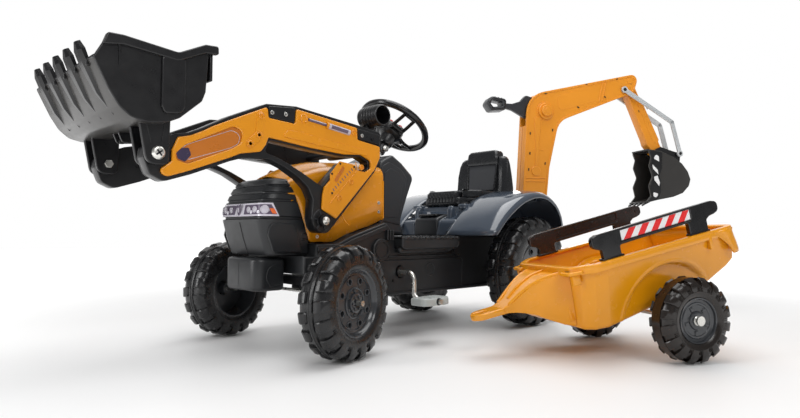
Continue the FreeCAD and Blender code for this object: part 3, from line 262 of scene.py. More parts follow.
def disc(name, centre, radius, y_from, y_to, material, body, bevel=1.5, bore=0.0, count=40, **options):
    """A round boss along Y with softened edges, with a bore if one is given."""
    holes = [circle(centre, bore, count)] if bore else []
    outline = circle(centre, radius, count)
    return plate(name, outline, y_from, y_to, material, body, holes=holes, bevel=bevel, **options)


def tube(name, path, radius, material, body, bend=12.0, cyclic=False, **options):
    """A round rod along a path of corners, each turned with a small bend."""
    points = []
    count = len(path)
    for i, corner in enumerate(path):
        here = Vector(corner)
        if (i in (0, count - 1) and not cyclic) or bend <= 0:
            points.append(here)
            continue
        back = Vector(path[i - 1]) - here
        ahead = Vector(path[(i + 1) % count]) - here
        reach = min(bend, back.length * 0.45, ahead.length * 0.45)
        first, last = here + back.normalized() * reach, here + ahead.normalized() * reach
        for k in range(7):
            t = k / 6
            points.append((1 - t) ** 2 * first + 2 * t * (1 - t) * here + t * t * last)
    mesh = curve_mesh(name, [points], "3D", radius, cyclic=cyclic)
    return finish_mesh(name, mesh, material, body, **options)


def lathe(name, profile, material, body, place=None, count=96, closed=True, **options):
    """A (y, radius) profile turned about the Y axis of its place."""
    points, faces = [], []
    rows = len(profile)
    for k in range(count):
        angle = 2 * math.pi * k / count
        for y, radius in profile:
            points.append((radius * math.cos(angle), y, radius * math.sin(angle)))
    for k in range(count):
        for i in range(rows if closed else rows - 1):
            j = (i + 1) % rows
            a, b = k * rows, ((k + 1) % count) * rows
            faces.append((a + i, a + j, b + j, b + i))
    return from_faces(name, points, faces, material, body, place=place, **options)


def loft(name, rings, material, body, closed_ring=True, caps=True, **options):
    """Quads between rings of equal length, with flat caps."""
    points = [p for ring in rings for p in ring]
    size = len(rings[0])
    faces = []
    for r in range(len(rings) - 1):
        for i in range(size if closed_ring else size - 1):
            j = (i + 1) % size
            faces.append((r * size + i, r * size + j, (r + 1) * size + j, (r + 1) * size + i))
    if caps:
        faces.append(tuple(range(size)))
        faces.append(tuple(range((len(rings) - 1) * size, len(rings) * size)))
    return from_faces(name, points, faces, material, body, **options)


def block(name, start, end, material, body, bevel=3.0, **options):
    """A rounded box between two opposite corners, with its sides along the axes."""
    low, high = (Vector([pick(pair) for pair in zip(start, end)]) for pick in (min, max))
    mesh = bpy.data.meshes.new(name)
    work = bmesh.new()
    bmesh.ops.create_cube(work, size=1.0)
    for vert in work.verts:
        vert.co = (low + high) / 2 + vert.co * (high - low)
    bmesh.ops.bevel(work, geom=work.edges[:], offset=bevel, segments=3, profile=0.5, affect="EDGES")
    work.to_mesh(mesh)
    work.free()
    return finish_mesh(name, mesh, material, body, **options)


def flipped(points):
    """The same points on the other side of the middle plane, in reverse order."""
    return [(x, -y, z) for x, y, z in reversed(points)]


def thicken(piece, wall, offset=-1):
    """Give an open skin a wall, in metres."""
    modifier = piece.modifiers.new("wall", "SOLIDIFY")
    modifier.thickness = wall
    modifier.offset = offset


def join(name, objects):
    """Join pieces of one body and one material into the first one, which keeps its links."""
    first = objects[0]
    with bpy.context.temp_override(active_object=first, object=first, selected_editable_objects=objects):
        bpy.ops.object.join()
    first.name = name


def dress(material, *names):
    """A CAD node that keeps its shape gets a finished material."""
    for name in names:
        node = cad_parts[name]
        node.data.materials.clear()
        node.data.materials.append(material)


def pill(start, end, radius, count=10):
    """Closed outline round two points."""
    a, b = Vector(start), Vector(end)
    heading = math.atan2(b.y - a.y, b.x - a.x)
    points = []
    for centre, offset in ((b, heading - math.pi / 2), (a, heading + math.pi / 2)):
        for k in range(count + 1):
            angle = offset + math.pi * k / count
            points.append(centre + Vector((math.cos(angle), math.sin(angle))) * radius)
    return points


def at(x, y, z, *turns):
    """A place in the frame followed by turns given as (degrees, axis)."""
    place = Matrix.Translation((x, y, z))
    for degrees, axis in turns:
        place = place @ Matrix.Rotation(math.radians(degrees), 4, axis)
    return place


def facing(x, y, z, side):
    """A place on one side of the toy whose Y axis points outwards."""
    return at(x, y, z) if side > 0 else at(x, y, z, (180, "Z"))


def screw(name, x, z, y, side, radius, material, body, place=TOP_VIEW):
    """A pan-head screw that stands out along Y, with a cross cut into its head."""
    slim, wide = 0.14 * radius, 0.55 * radius
    quarter = [(slim, slim), (slim, wide), (-slim, wide), (-slim, slim), (-wide, slim), (-wide, -slim)]
    cross = [(x + u, z + v) for u, v in quarter + [(-u, -v) for u, v in quarter]]
    # the near-black disc behind the head is painted shade inside the cross cut
    disc(name + "_recess", (x, z), radius * 0.7, y - 0.1 * side, y + 0.2 * radius * side, HOLE_SHADE, body,
        bevel=0.2, count=16, place=place)
    head = circle((x, z), radius, 28)
    return plate(name, head, y, y + 0.45 * radius * side, material, body, holes=[cross],
        bevel=0.12 * radius, steps=1, place=place)


def filled_in(maker):
    """A shape maker that takes its material, body and place from its kit unless it is told otherwise."""
    def method(kit, *values, **options):
        material = options.pop("material", kit.material)
        return maker(*values, material, kit.body, **{"place": kit.place, **options})
    return method


class Kit:
    """The shape makers for one CAD body, with its usual material and place."""

    def __init__(self, body, material, place=TOP_VIEW):
        self.body = body
        self.material = material
        self.place = place

    plate, slab, disc, tube, lathe, loft, block = map(filled_in, (plate, slab, disc, tube, lathe, loft,
        block))


# The rear boom's post, the trailer's axle and the steering wheel: places of their own axes.
# Axes that several pieces share, as (x, z) seen from the side.
LOADER_PIVOT = (700, 295)
BUCKET_PIVOT = (1078, 410)
BOOM_KNOB = (63, 717)
CRANK = (436, 169)
SWING = at(-340, 0, 0, (150, "Z"))
TRAILER = at(129, 604, 90, (-27.6, "Z"), (13.2, "Y"))
STEERING = at(339, 0, 574, (-34.8, "Y"))
# Degrees the front wheels are turned to the left.
STEER = 13.6

chassis = Kit("chassis", CHARCOAL)
seat = Kit("seat", SEAT)
loader = Kit("loader", BLACK)
bucket = Kit("loader_bucket", BLACK)
lever = Kit("lever", BLACK)
boom = Kit("boom", BOOM, SWING)
handle_kit = Kit("handle", CONSOLE, SWING)
stick = Kit("stick", BOOM, SWING)
links = Kit("links", LINK, SWING)
digger = Kit("digger_bucket", BLACK, SWING)
trailer = Kit("trailer", TUB, TRAILER)


# ---------------------------------------------------------------- wheels
def lug_mesh(work, stations, half_angle, skew, turn, side, radius_step):
    """One tread block, lofted over tread and shoulder stations of (y, base radius, top radius)."""
    rings = []
    last = len(stations) - 1
    for i, (y, base, top) in enumerate(stations):
        t = i / last
        width = half_angle * (0.72 if i in (0, last) else 1.0)
        centre = turn + skew * t
        ring = []
        for offset, radius in ((-width, base), (-width, top - radius_step), (-width * 0.82, top),
                (width * 0.82, top), (width, top - radius_step), (width, base)):
            angle = centre + offset
            ring.append(work.verts.new((radius * math.cos(angle), side * y, radius * math.sin(angle))))
        rings.append(ring)
    for a, b in zip(rings, rings[1:]):
        for k in range(5):
            work.faces.new((a[k], a[k + 1], b[k + 1], b[k]))
    work.faces.new(rings[0])
    work.faces.new(rings[-1])


def tyre(name, body, node, place, radius, half, bead, lugs, material, on_trailer=False):
    """A hollow moulded tyre with a row of tread blocks on each side and thin ribs between them."""
    profile = [(-half + 5, bead - 2), (-half + 1, bead + 3), (-half, bead + 10),
        (-half + 0.5, radius - 30), (-half + 3, radius - 18), (-half + 9, radius - 10.5),
        (-half + 19, radius - 7)]
    if not on_trailer:
        profile += [(-7.5, radius - 6), (-6, radius - 2.8), (-2.2, radius - 2.2), (-1.2, radius - 3.6),
            (1.2, radius - 3.6), (2.2, radius - 2.2), (6, radius - 2.8), (7.5, radius - 6)]
    else:
        profile += [(-half * 0.4, radius - 2.5), (half * 0.4, radius - 2.5)]
    profile += [(-y, r) for y, r in reversed(profile[:7])]
    carcass = lathe(name, profile, material, body, place=place, nodes=(node,), slot="tyre_plastic",
        crisp=50)
    work = bmesh.new()
    if on_trailer:
        stations = [(half * 0.42, radius - 8, radius - 3), (half * 0.55, radius - 9, radius - 0.3),
            (half - 9, radius - 13, radius - 3), (half - 3, radius - 20, radius - 9),
            (half - 1.0, radius - 26, radius - 16), (half - 0.6, radius - 30, radius - 22)]
    else:
        stations = [(8.5, radius - 9, radius - 3.5), (12, radius - 9, radius - 0.6),
            (half * 0.5, radius - 10, radius - 0.2), (half - 12, radius - 13, radius - 2),
            (half - 5, radius - 19, radius - 7.5), (half - 0.8, radius - 26, radius - 15),
            (half - 0.2, radius - 33, radius - 24)]
    pitch = 2 * math.pi / lugs
    for side in (1, -1):
        for k in range(lugs):
            turn = (k + (0.5 if side < 0 else 0.0)) * pitch
            lug_mesh(work, stations, 0.29 * pitch, 0.16 * pitch * side, turn, side, 1.6)
            rib = turn + pitch * 0.5
            for n in range(3):
                angle = rib + (n - 1) * pitch * 0.13
                a, b = radius - 31, radius - 21
                verts = []
                for r in (a, b):
                    for w, y in ((-0.6, half - 2), (0.6, half - 2), (0.4, half - 0.1), (-0.4, half - 0.1)):
                        spread = w / r
                        verts.append(work.verts.new((r * math.cos(angle + spread), side * y,
                            r * math.sin(angle + spread))))
                for q in range(4):
                    work.faces.new((verts[q], verts[(q + 1) % 4], verts[4 + (q + 1) % 4], verts[4 + q]))
                work.faces.new(verts[:4])
                work.faces.new(verts[4:])
    bmesh.ops.recalc_face_normals(work, faces=work.faces)
    mesh = bpy.data.meshes.new(name + "_lugs")
    work.to_mesh(mesh)
    work.free()
    tread = finish_mesh(name + "_lugs", mesh, material, body, place=place, slot="tyre_plastic", crisp=32)
    join(name, [carcass, tread])


def rim(name, body, node, place, half, bead, hub_back):
    """A dished wheel: flange, barrel, disc with round holes, ringed hub with bosses, and axle nut."""
    r = bead
    scale = bead / 74
    face = half - 15
    barrel = [(-half + 5, r - 2.2), (-half + 4.5, r - 5), (-half + 8, r - 6.5), (face - 8, r - 8),
        (face - 5, r - 12), (face, r - 12), (face + 3, r - 9), (half - 9, r - 7.5), (half - 6, r - 6),
        (half - 4.5, r - 4), (half - 5, r - 2.2)]
    parts = [lathe(name, barrel, RIM, body, place=place, nodes=(node,), slot="rim_plastic", crisp=30)]
    holes = []
    for k in range(8):
        centre = polar((0, 0), 48 * scale, math.pi * (k + 0.5) / 4)
        holes.append(circle(centre, 5.6 * scale, 18))
    holes.append(circle((0, 0), 20 * scale, 32))
    outer = circle((0, 0), r - 10.5, 64)
    parts.append(plate(name + "_disc", outer, face - 5, face - 0.5, RIM, body, holes=holes, bevel=0.8,
        place=place, steps=1))
    parts.append(disc(name + "_back", (0, 0), r - 9, face - 9, face - 5.5, RIM, body, bevel=0.4,
        bore=19 * scale, count=48, place=place))
    for k in range(8):
        centre = polar((0, 0), 48 * scale, math.pi * (k + 0.5) / 4)
        parts.append(disc(name + f"_collar{k}", centre, 8.6 * scale, face - 2, face + 1.8, RIM, body,
            bevel=1.2, bore=5.6 * scale, count=20, place=place))
    rings = [(face - 3, 34 * scale), (face + 1.5, 33.4 * scale), (face + 3, 31 * scale),
        (face + 1.5, 29 * scale), (face - 1, 28 * scale), (face - 1, 22 * scale), (face + 4, 20.5 * scale),
        (face + 5, 18 * scale), (face + 4.6, 6), (face + 4, 5), (hub_back, 5), (hub_back, 15 * scale),
        (face - 3, 19 * scale)]
    parts.append(lathe(name + "_hub", rings, RIM, body, place=place, crisp=30))
    groove = [(face - 1, r - 15), (face + 1.6, r - 16), (face + 1.6, r - 18.5), (face - 1, r - 19.5)]
    parts.append(lathe(name + "_groove", groove, RIM, body, place=place, crisp=30))
    for k in range(6):
        angle = math.pi * k / 3
        parts.append(disc(name + f"_lug{k}", polar((0, 0), 13.5 * scale, angle), 3.2 * scale, face + 3.5,
            face + 8.5, RIM, body, bevel=1.0, count=14, place=place))
        parts.append(disc(name + f"_stud{k}", polar((0, 0), 25 * scale, angle + 0.5), 3.4 * scale,
            face - 2, face + 2.2, RIM, body, bevel=1.0, count=14, place=place))
    join(name, parts)
    lathe(name + "_nut", [(face + 2, 0.1), (face + 2, 7.5), (face + 6.5, 7), (face + 9, 4.6),
        (face + 10, 0.1)], BLACK_STEEL, body, place=place, count=24, closed=False)


def wheel_place(x, y, z, side, steer):
    """The place of a wheel whose outer face points along its Y axis."""
    place = at(x, y, z, (steer, "Z"))
    return place if side > 0 else place @ Matrix.Rotation(math.pi, 4, "Z")


for label, side in (("left", 1), ("right", -1)):
    kingpin = Matrix.Rotation(math.radians(STEER), 3, "Z") @ Vector((0, side * 40, 0))
    place = wheel_place(718 + kingpin.x, side * (232 - 40 * math.cos(math.radians(STEER))) + kingpin.y,
        121.5, side, STEER)
    body = f"front_wheel_{label}"
    tyre(f"front_tyre_{label}_skin", body, f"front_tyre_{label}", place, 121.5, 39, 74, 18, TYRE)
    rim(f"front_rim_{label}_skin", body, f"front_rim_{label}", place, 39, 74, -2)
    place = wheel_place(0, side * 222, 159.5, side, 0)
    body = "rear_wheel_left" if side > 0 else "rear_axle"
    tyre(f"rear_tyre_{label}_skin", body, f"rear_tyre_{label}", place, 159.5, 43, 92, 20, TYRE)
    rim(f"rear_rim_{label}_skin", body, f"rear_rim_{label}", place, 43, 92, -34)
    place = TRAILER @ wheel_place(0, side * 165, 0, side, 0)
    body = f"trailer_wheel_{label}"
    tyre(f"trailer_tyre_{label}_skin", body, f"trailer_tyre_{label}", place, 90, 29, 50, 16, TYRE_BROWN,
        on_trailer=True)
    disc_profile = [(-24, 6), (-24, 49), (22, 49), (25, 47), (24, 44.5), (20, 43), (19, 38), (20.5, 36.5),
        (20.5, 33), (19, 31.5), (18.5, 20), (21, 18.5), (22, 15), (21, 6)]
    lathe(f"trailer_rim_{label}_skin", disc_profile, RIM, body, place=place,
        nodes=(f"trailer_rim_{label}",), slot="rim_plastic", crisp=30)
    for k in range(5):
        angle = 72 * k
        ridge = place @ Matrix.Rotation(math.radians(angle), 4, "Y")
        block(f"trailer_rim_{label}_web{k}", (21, 18, -3.5), (31.5, 20.6, 3.5), RIM, body, bevel=1.2,
            place=ridge)
    lathe(f"trailer_push_nut_{label}", [(20, 0.1), (20, 10.5), (22.5, 10.2), (24, 8), (25.5, 4),
        (26, 0.1)], ZINC, "trailer", place=place, count=32, closed=False)
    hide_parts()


# ---------------------------------------------------------------- front bodywork
def nose_ring(x_back, x_front, half, corner, z):
    """A loop in plan at one height: back left, round the two front corners, back right."""
    points = [(x_back, half, z), (x_front - corner * 2.1, half, z)]
    for k in range(9):
        angle = math.pi / 2 * (1 - k / 8)
        points.append((x_front - corner * 2.1 * (1 - math.cos(angle)),
            half - corner * 1.5 * (1 - math.sin(angle)), z))
    return points + flipped(points)


# Plan loops of the nose from the bottom up: z, x at the back, x at the front, half width, corner.
LEVELS = [(218, 706, 803, 88, 13), (222, 705, 806, 91, 14), (256, 708, 818, 94, 16), (292, 720, 828, 95,
    17), (297, 722, 829, 95, 17), (299, 723, 824, 91, 17), (303, 724, 824, 91, 17), (305, 725, 829, 95,
    18), (336, 737, 821, 95, 18), (338, 738, 817, 92, 18), (341, 739, 817, 92, 18), (343, 740, 819, 95,
    19), (353, 744, 815, 94, 19), (355, 745, 811, 91, 19), (357, 746, 811, 91, 19), (359, 746, 812, 94,
    19), (370, 752, 806, 92, 19), (372, 753, 802, 89, 19), (374, 754, 801, 89, 19), (376, 755, 802, 91,
    19), (384, 763, 796, 86, 18), (389, 768, 788, 76, 16), (391, 770, 780, 60, 12)]
nose_rings = [nose_ring(back, front, half, corner, z) for z, back, front, half, corner in LEVELS]
chassis.loft("nose_shell", nose_rings, crisp=24, nodes=("nose",), slot="grey_plastic")
chassis.tube("nose_crease", [(803.2, 0, 219), (806.4, 0, 223), (818.2, 0, 256), (828, 0, 291)], 1.1,
    material=BLACK, bend=2)
for side in (1, -1):
    y = side * 93.2
    chassis.plate(f"nose_panel_{side}", [(724, 224), (800, 226, 8), (814, 262), (808, 290, 16),
        (744, 288, 10)], y, y + side * 3.6, bevel=1.6)
    for k, (low, high) in enumerate(((262, 268), (250, 256))):
        chassis.block(f"nose_rib_{side}_{k}", (708, side * 92 - 3, low), (724, side * 92 + 3, high),
            material=BLACK, bevel=1.5)

chassis.slab("bumper_block", [(752, 70, 8), (828, 70, 26), (828, -70, 26), (752, -70, 8)], 138, 212,
    bevel=9, nodes=("bumper_weight",), slot="grey_plastic")
for side in (1, -1):
    chassis.plate(f"bumper_relief_{side}", [(762, 152), (790, 148), (802, 166, 14), (797, 190, 18),
        (776, 200), (762, 200)], side * 68.5, side * 71.5, bevel=1.4)
chassis.block("bumper_seam", (826.2, -1.2, 148), (828.0, 1.2, 204), material=BLACK, bevel=0.5)

# headlight panel: bright frame, dark inset, lamps, plain crest and indicators, wrapped round the corners
def wrap_point(s, z, out=0.0):
    """s runs round the nose from -1 to 1: across the flat front, round the corner and onto the side."""
    flat, bend, reach = 69.5, 48.0, 126.0 * abs(s)
    back = 0.26 * max(0.0, z - 305)
    if reach < flat:
        x, y = 829.2 + out - back, reach
    elif reach < flat + bend:
        angle = (reach - flat) / bend * math.pi / 2
        x = 793.3 + (36 + out - back) * math.cos(angle)
        y = flat + (25.7 + out) * math.sin(angle)
    else:
        x, y = 793.3 + flat + bend - reach, 95.2 + out
    return (x, math.copysign(y, s), z)


def band(name, s_low, s_high, z_low, z_high, out, material, lean=0.0, thick=1.6, **options):
    """A patch on the headlight panel with a slanted outer end."""
    columns = 24
    rings = []
    for k in range(columns + 1):
        t = k / columns
        low_s = s_low + (s_high - s_low) * t
        high_s = low_s * (1 - lean)
        rings.append([wrap_point(low_s, z_low, out - thick), wrap_point(low_s, z_low, out),
            wrap_point(high_s, z_high, out), wrap_point(high_s, z_high, out - thick)])
    return loft(name, rings, material, "chassis", crisp=40, **options)


band("headlight_panel", -0.995, 0.995, 304, 333, 0.6, LAMP_PALE, lean=0.13, nodes=("headlight_band",),
    slot="silver_plastic")
for side in (1, -1):
    band(f"headlight_inset_{side}", side * 0.16, side * 0.955, 308, 329.5, 1.0, LAMP_DARK, lean=0.12)
    for k, (centre, radius, turn) in enumerate(((0.735, 9.8, 42), (0.50, 7.6, 4), (0.30, 7.0, 2))):
        x, y, z = wrap_point(side * centre, 318.5, 0.8)
        turn *= side
        lamp = at(x, y, z, (turn - 90, "Z"))
        chassis.lathe(f"headlight_lamp_{side}_{k}", [(0.2, radius), (2.0, radius - 0.4),
            (2.4, radius - 1.6), (1.2, radius - 2.4), (1.9, radius * 0.4), (2.2, 0.1)],
            material=LAMP_SILVER, place=lamp, count=28, closed=False)
    for k, (centre, turn) in enumerate(((0.62, 18), (0.40, 3))):
        x, y, z = wrap_point(side * centre, 313, 0.8)
        lamp = at(x, y, z, (side * turn - 90, "Z"))
        chassis.lathe(f"headlight_spot_{side}_{k}", [(0.2, 4.0), (1.8, 3.7), (2.2, 2.4), (2.4, 0.1)],
            material=LAMP_PALE, place=lamp, count=20, closed=False)
    band(f"indicator_{side}", side * 0.865, side * 0.942, 309.5, 321, 1.8, AMBER, lean=0.06)
x0 = 831.0
chassis.loft("headlight_crest", [[(x0 - 2, 7.5 * u, 318.5 + 13 * v) for u, v in shape]
    for shape in ([(-1, 0.9), (-0.4, 1.0), (0, 0.75), (0.4, 1.0), (1, 0.9), (0.9, -0.2), (0.35, -0.95),
    (-0.35, -0.95), (-0.9, -0.2)],)] + [[(x0, 6.6 * u, 318.5 + 11.6 * v) for u, v in ((-1, 0.9),
    (-0.4, 1.0), (0, 0.75), (0.4, 1.0), (1, 0.9), (0.9, -0.2), (0.35, -0.95), (-0.35, -0.95),
    (-0.9, -0.2))]], material=LAMP_DARK)
chassis.loft("headlight_crest_centre", [[(x0 - 0.5, 3.6 * u, 319 + 7 * v) for u, v in ((-1, 0.8), (1, 0.8),
    (0.8, -0.6), (0, -1), (-0.8, -0.6))], [(x0 + 0.8, 3.0 * u, 319 + 6 * v) for u, v in ((-1, 0.8),
    (1, 0.8), (0.8, -0.6), (0, -1), (-0.8, -0.6))]], material=LAMP_SILVER)


# ---------------------------------------------------------------- bonnet
def bonnet_section(x, half, top, low):
    """One cross-section from the lower left edge over the crown to the lower right edge."""
    points = [(x, half, low), (x, half + 0.6, (low + top) / 2 - 20), (x, half, top - 40)]
    for k in range(8):
        angle = math.pi / 2 * k / 8
        points.append((x, half - 30 + 30 * math.cos(angle), top - 36 + 30 * math.sin(angle)))
    for k in range(1, 4):
        t = k / 4
        points.append((x, (half - 30) * (1 - t), top - 6 + 14 * math.sin(t * math.pi / 2)))
    points.append((x, 0, top + 8.5))
    return points + flipped(points[:-1])


def bonnet_low(x):
    """Height of the bonnet's lower edge, which follows the chassis top and then the nose joint."""
    path = [(470, 302), (484, 301), (521, 286), (554, 278), (602, 263), (638, 247), (704, 247), (710, 266),
        (725, 309), (739, 345), (751, 373), (762, 388)]
    for (x0_, z0_), (x1_, z1_) in zip(path, path[1:]):
        if x <= x1_:
            return z0_ + (z1_ - z0_) * (x - x0_) / (x1_ - x0_)
    return path[-1][1]


bonnet_rings = []
for x in [471, 474, 478, 484, 500, 521, 540, 554, 580, 602, 620, 638, 660, 680, 700, 706, 712, 718, 725,
        732, 739, 745, 751, 757, 762]:
    t = (x - 471) / 291
    half = 96.5 + 1.5 * math.sin(math.pi * min(1, t * 1.4)) - 6 * max(0, (x - 690) / 75) ** 1.5
    top = 447 - 20 * t - 34 * max(0, (t - 0.55) / 0.45) ** 1.8
    half -= 1.5 if x < 474 else 0.0
    bonnet_rings.append(bonnet_section(x, half, top, min(bonnet_low(x), top - 60)))
bonnet = chassis.loft("bonnet_shell", bonnet_rings, material=ORANGE, closed_ring=False, caps=False,
    crisp=50, nodes=("bonnet",), slot="orange_plastic")
thicken(bonnet, 0.004)
for side in (1, -1):
    arc = [(560 + 62 * math.cos(a), side * 97.6, 352 + 74 * math.sin(a))
        for a in [math.radians(-62 + 10 * k) for k in range(14)]]
    chassis.tube(f"bonnet_swirl_{side}", arc, 2.1, material=ORANGE, bend=0)
    arc = [(548 + 96 * math.cos(a), side * 97.9, 330 + 96 * math.sin(a))
        for a in [math.radians(-28 + 8 * k) for k in range(9)]]
    chassis.tube(f"bonnet_swirl_outer_{side}", arc, 1.8, material=ORANGE, bend=0)
    chassis.tube(f"bonnet_edge_{side}", [(473, side * 97, 306), (473, side * 97, 402)], 1.6, material=TUB,
        bend=0)
    for k, (x, z) in enumerate(((490, 322), (490, 345), (684, 259))):
        screw(f"bonnet_screw_{side}_{k}", x, z, side * 97.5, side, 4.2, ZINC, "chassis")

# ---------------------------------------------------------------- dash console
CONSOLE_SIDE = [(476, 302), (474, 400, 20), (470, 452, 12), (452, 463, 10), (423, 477, 12), (385, 456, 14),
    (341, 422, 18), (366, 366, 30), (392, 300, 30), (380, 262), (456, 266)]
chassis.plate("console_shell", CONSOLE_SIDE, -82, 82, material=CONSOLE, bevel=9, nodes=("dash_console",),
    slot="grey_plastic")
for side in (1, -1):
    chassis.plate(f"console_cheek_{side}", [(468, 300), (468, 440, 14), (440, 456, 14), (396, 440, 16),
        (372, 416, 14), (392, 340, 30), (400, 290)], side * 80, side * 84.5, material=CONSOLE, bevel=2.2)
    chassis.plate(f"console_groove_{side}", [(458, 310), (458, 424, 12), (438, 440, 12), (402, 428, 12),
        (388, 410, 10), (404, 340, 26), (410, 310)], side * 84, side * 86.2, material=CONSOLE, bevel=1.0)
chassis.block("console_top_ridge", (392, -22, 452), (452, 22, 474), material=CONSOLE, bevel=6)


# ---------------------------------------------------------------- chassis
CHASSIS_SIDE = [(735, 215), (702, 215), (700, 243), (638, 243), (602, 259, 20), (554, 274, 30),
    (482, 296, 12), (455, 262, 8), (225, 258), (205, 262), (-250, 262, 6), (-250, 190, 6), (-120, 190, 20),
    (-80, 111, 10), (574, 115, 10), (614, 174, 14), (735, 174, 4)]
chassis.plate("chassis_body", CHASSIS_SIDE, -119, 119, bevel=5, nodes=("chassis_shell",),
    slot="black_plastic", holes=[circle(CRANK, 13.5, 24), circle((0, 159.5), 11, 24)])
for side in (1, -1):
    y = side * 118
    # upper ledge line under the orange body, boss, louvres and footrest with its wavy grip edge
    chassis.plate(f"chassis_ledge_{side}", [(700, 236), (640, 236), (602, 252, 16), (554, 267, 24),
        (484, 289, 10), (470, 272, 8), (484, 276, 6), (552, 256, 20), (600, 241, 16), (640, 226),
        (700, 226)], y, side * 126, bevel=2.2)
    chassis.disc(f"chassis_boss_{side}", (505, 226), 28, y, side * 127.5, bevel=2.5)
    chassis.lathe(f"chassis_boss_ring_{side}", [(0, 19), (3.2, 20), (3.2, 22), (0, 23)], place=facing(505,
        side * 127, 226, side), count=48)
    for k in range(3):
        chassis.block(f"chassis_louvre_{side}_{k}", (462 + 9 * k, y, 250), (467 + 9 * k, side * 127, 276),
            bevel=1.8)
    footrest = [(455, 257), (455, 232, 8), (440, 226, 8), (240, 226, 10), (228, 236, 8), (228, 257)]
    chassis.plate(f"footrest_{side}", footrest, y, side * 150, bevel=5)
    wave = [(228, side * 148)]
    for k in range(11):
        x = 238 + 20 * k
        wave += [(x, side * 155, 5), (x + 10, side * 150, 5)]
    wave += [(455, side * 148), (455, side * 118), (228, side * 118)]
    chassis.slab(f"footrest_grip_{side}", wave, 252, 259, bevel=2)
    for k in range(9):
        chassis.block(f"footrest_bar_{side}_{k}", (242 + 23 * k, side * 121, 257.5), (249 + 23 * k,
            side * 146, 261.5), bevel=1.6)
    chassis.plate(f"chassis_bulge_{side}", [(452, 240), (452, 216, 10), (262, 216, 14), (232, 226, 10),
        (232, 240)], y, side * 137, bevel=7)
    chassis.plate(f"chassis_band_{side}", [(476, 211, 3), (476, 206, 3), (226, 206, 3), (226, 211, 3)], y,
        side * 124, bevel=2)
    chassis.plate(f"chassis_corner_{side}", [(222, 250, 4), (222, 212, 8), (196, 212, 4), (196, 205, 4),
        (210, 205), (210, 250, 4)], y, side * 125, bevel=2)
    panel = [(600, 200, 10), (600, 118, 6), (186, 114, 8), (182, 200, 10)]
    chassis.plate(f"chassis_panel_{side}", panel, y, side * 123.5, bevel=2.5,
        holes=[circle(CRANK, 15.5, 28)])
    chassis.lathe(f"chassis_relief_{side}", [(0, 15), (1.6, 16), (1.6, 17.5), (0, 18.5)], place=facing(322,
        side * 123.3, 172, side), count=40)
    chassis.lathe(f"crank_collar_{side}", [(0, 6.2), (3, 6.4), (3, 12.6), (0, 14)], material=BLACK,
        place=facing(436, side * 121, 169, side), count=32)
    screw(f"chassis_screw_{side}", 462, 147, side * 123.5, side, 4, BLACK_STEEL, "chassis")
    chassis.block(f"chassis_sill_{side}", (-78, y, 111), (584, side * 128, 119), bevel=3)
    chassis.plate(f"chassis_rear_panel_{side}", [(-128, 256, 8), (-128, 200, 8), (-242, 200, 8),
        (-242, 256, 8)], y, side * 122, bevel=2)
chassis.block("chassis_tail_panel", (-253, -90, 200), (-249, 90, 254), bevel=1.5)
for k in range(4):
    chassis.block(f"chassis_belly_rib_{k}", (60 + 120 * k, -100, 108.5), (68 + 120 * k, 100, 113),
        bevel=1.5)


# ---------------------------------------------------------------- fender unit
ARCH = [(232, 264), (220, 281), (196, 306), (175, 325), (151, 342), (128, 357), (104, 370), (78, 382),
    (50, 390), (20, 397), (-10, 399), (-40, 397), (-66, 391), (-90, 381), (-112, 368), (-131, 350),
    (-146, 328), (-156, 298), (-164, 264)]
for side in (1, -1):
    rings = []
    for y, drop in ((96, 3), (112, 0.5), (150, 0), (200, 0.5), (228, 2), (244, 4.5), (255, 9), (261, 15),
            (264, 23), (262.5, 26), (259, 24)):
        ring = []
        for x, z in ARCH:
            reach = math.hypot(x - 20, z - 225)
            scale = (reach - drop) / reach
            ring.append((20 + (x - 20) * scale, side * y, max(264, 225 + (z - 225) * scale)))
        rings.append(ring)
    arch = chassis.loft(f"fender_arch_{side}", rings, material=SLATE, closed_ring=False, caps=False,
        crisp=60)
    thicken(arch, 0.0035, -side)
    # wheel-side liner with stiffening ribs under the arch
    for k, angle in enumerate((40, 75, 110)):
        a = math.radians(angle)
        cx, cz = 10 + 168 * math.cos(a), 225 + 158 * math.sin(a)
        chassis.block(f"fender_rib_{side}_{k}", (-2, side * 112, -7), (2, side * 225, 4), material=SLATE,
            bevel=1.2, place=at(cx, 0, cz, (90 - angle, "Y")))
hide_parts("fender_unit")
SADDLE = [(206, 264), (200, 306, 16), (156, 320, 18), (134, 336, 8), (130, 352, 10), (-236, 352, 22),
    (-248, 264)]
chassis.plate("fender_saddle", SADDLE, -112, 112, material=SLATE, bevel=7, slot="slate_plastic")
chassis.plate("fender_hump", [(208, 264), (207, 312, 12), (150, 330, 12), (140, 264)], -46, 46,
    material=CONSOLE, bevel=7)
chassis.block("fender_hump_pad", (158, -36, 318), (200, 36, 326), material=BLACK_GLOSS, bevel=3.5)
for side in (1, -1):
    chassis.plate(f"fender_post_{side}", [(178, 312), (174, 340, 8), (168, 350, 5), (158, 350, 5),
        (146, 316)], side * 56, side * 74, material=SLATE, bevel=5)
    chassis.slab(f"fender_step_{side}", [(152, side * 78, 8), (152, side * 108, 8), (40, side * 110, 8),
        (40, side * 78, 8)], 340, 356, material=SLATE, bevel=4)
    chassis.tube(f"fender_bead_{side}", [(203, side * 50, 266), (201, side * 52, 304), (160, side * 56,
        322)], 2.6, material=SLATE)


# ---------------------------------------------------------------- seat
def seat_section(z, half, front, back, bolster, dish):
    """Closed plan outline of the backrest at one height, with side bolsters and a dished middle."""
    right = [(back, 0), (back, half - 22), (back + 5, half - 7), (back + 16, half), (front - 8, half),
        (front + bolster, half - 7), (front + bolster + 1.5, half - 17), (front, half - 29), (front - dish,
        half - 40), (front - dish, 0)]
    return [(x, y, z) for x, y in right] + [(x, -y, z) for x, y in reversed(right[1:-1])]


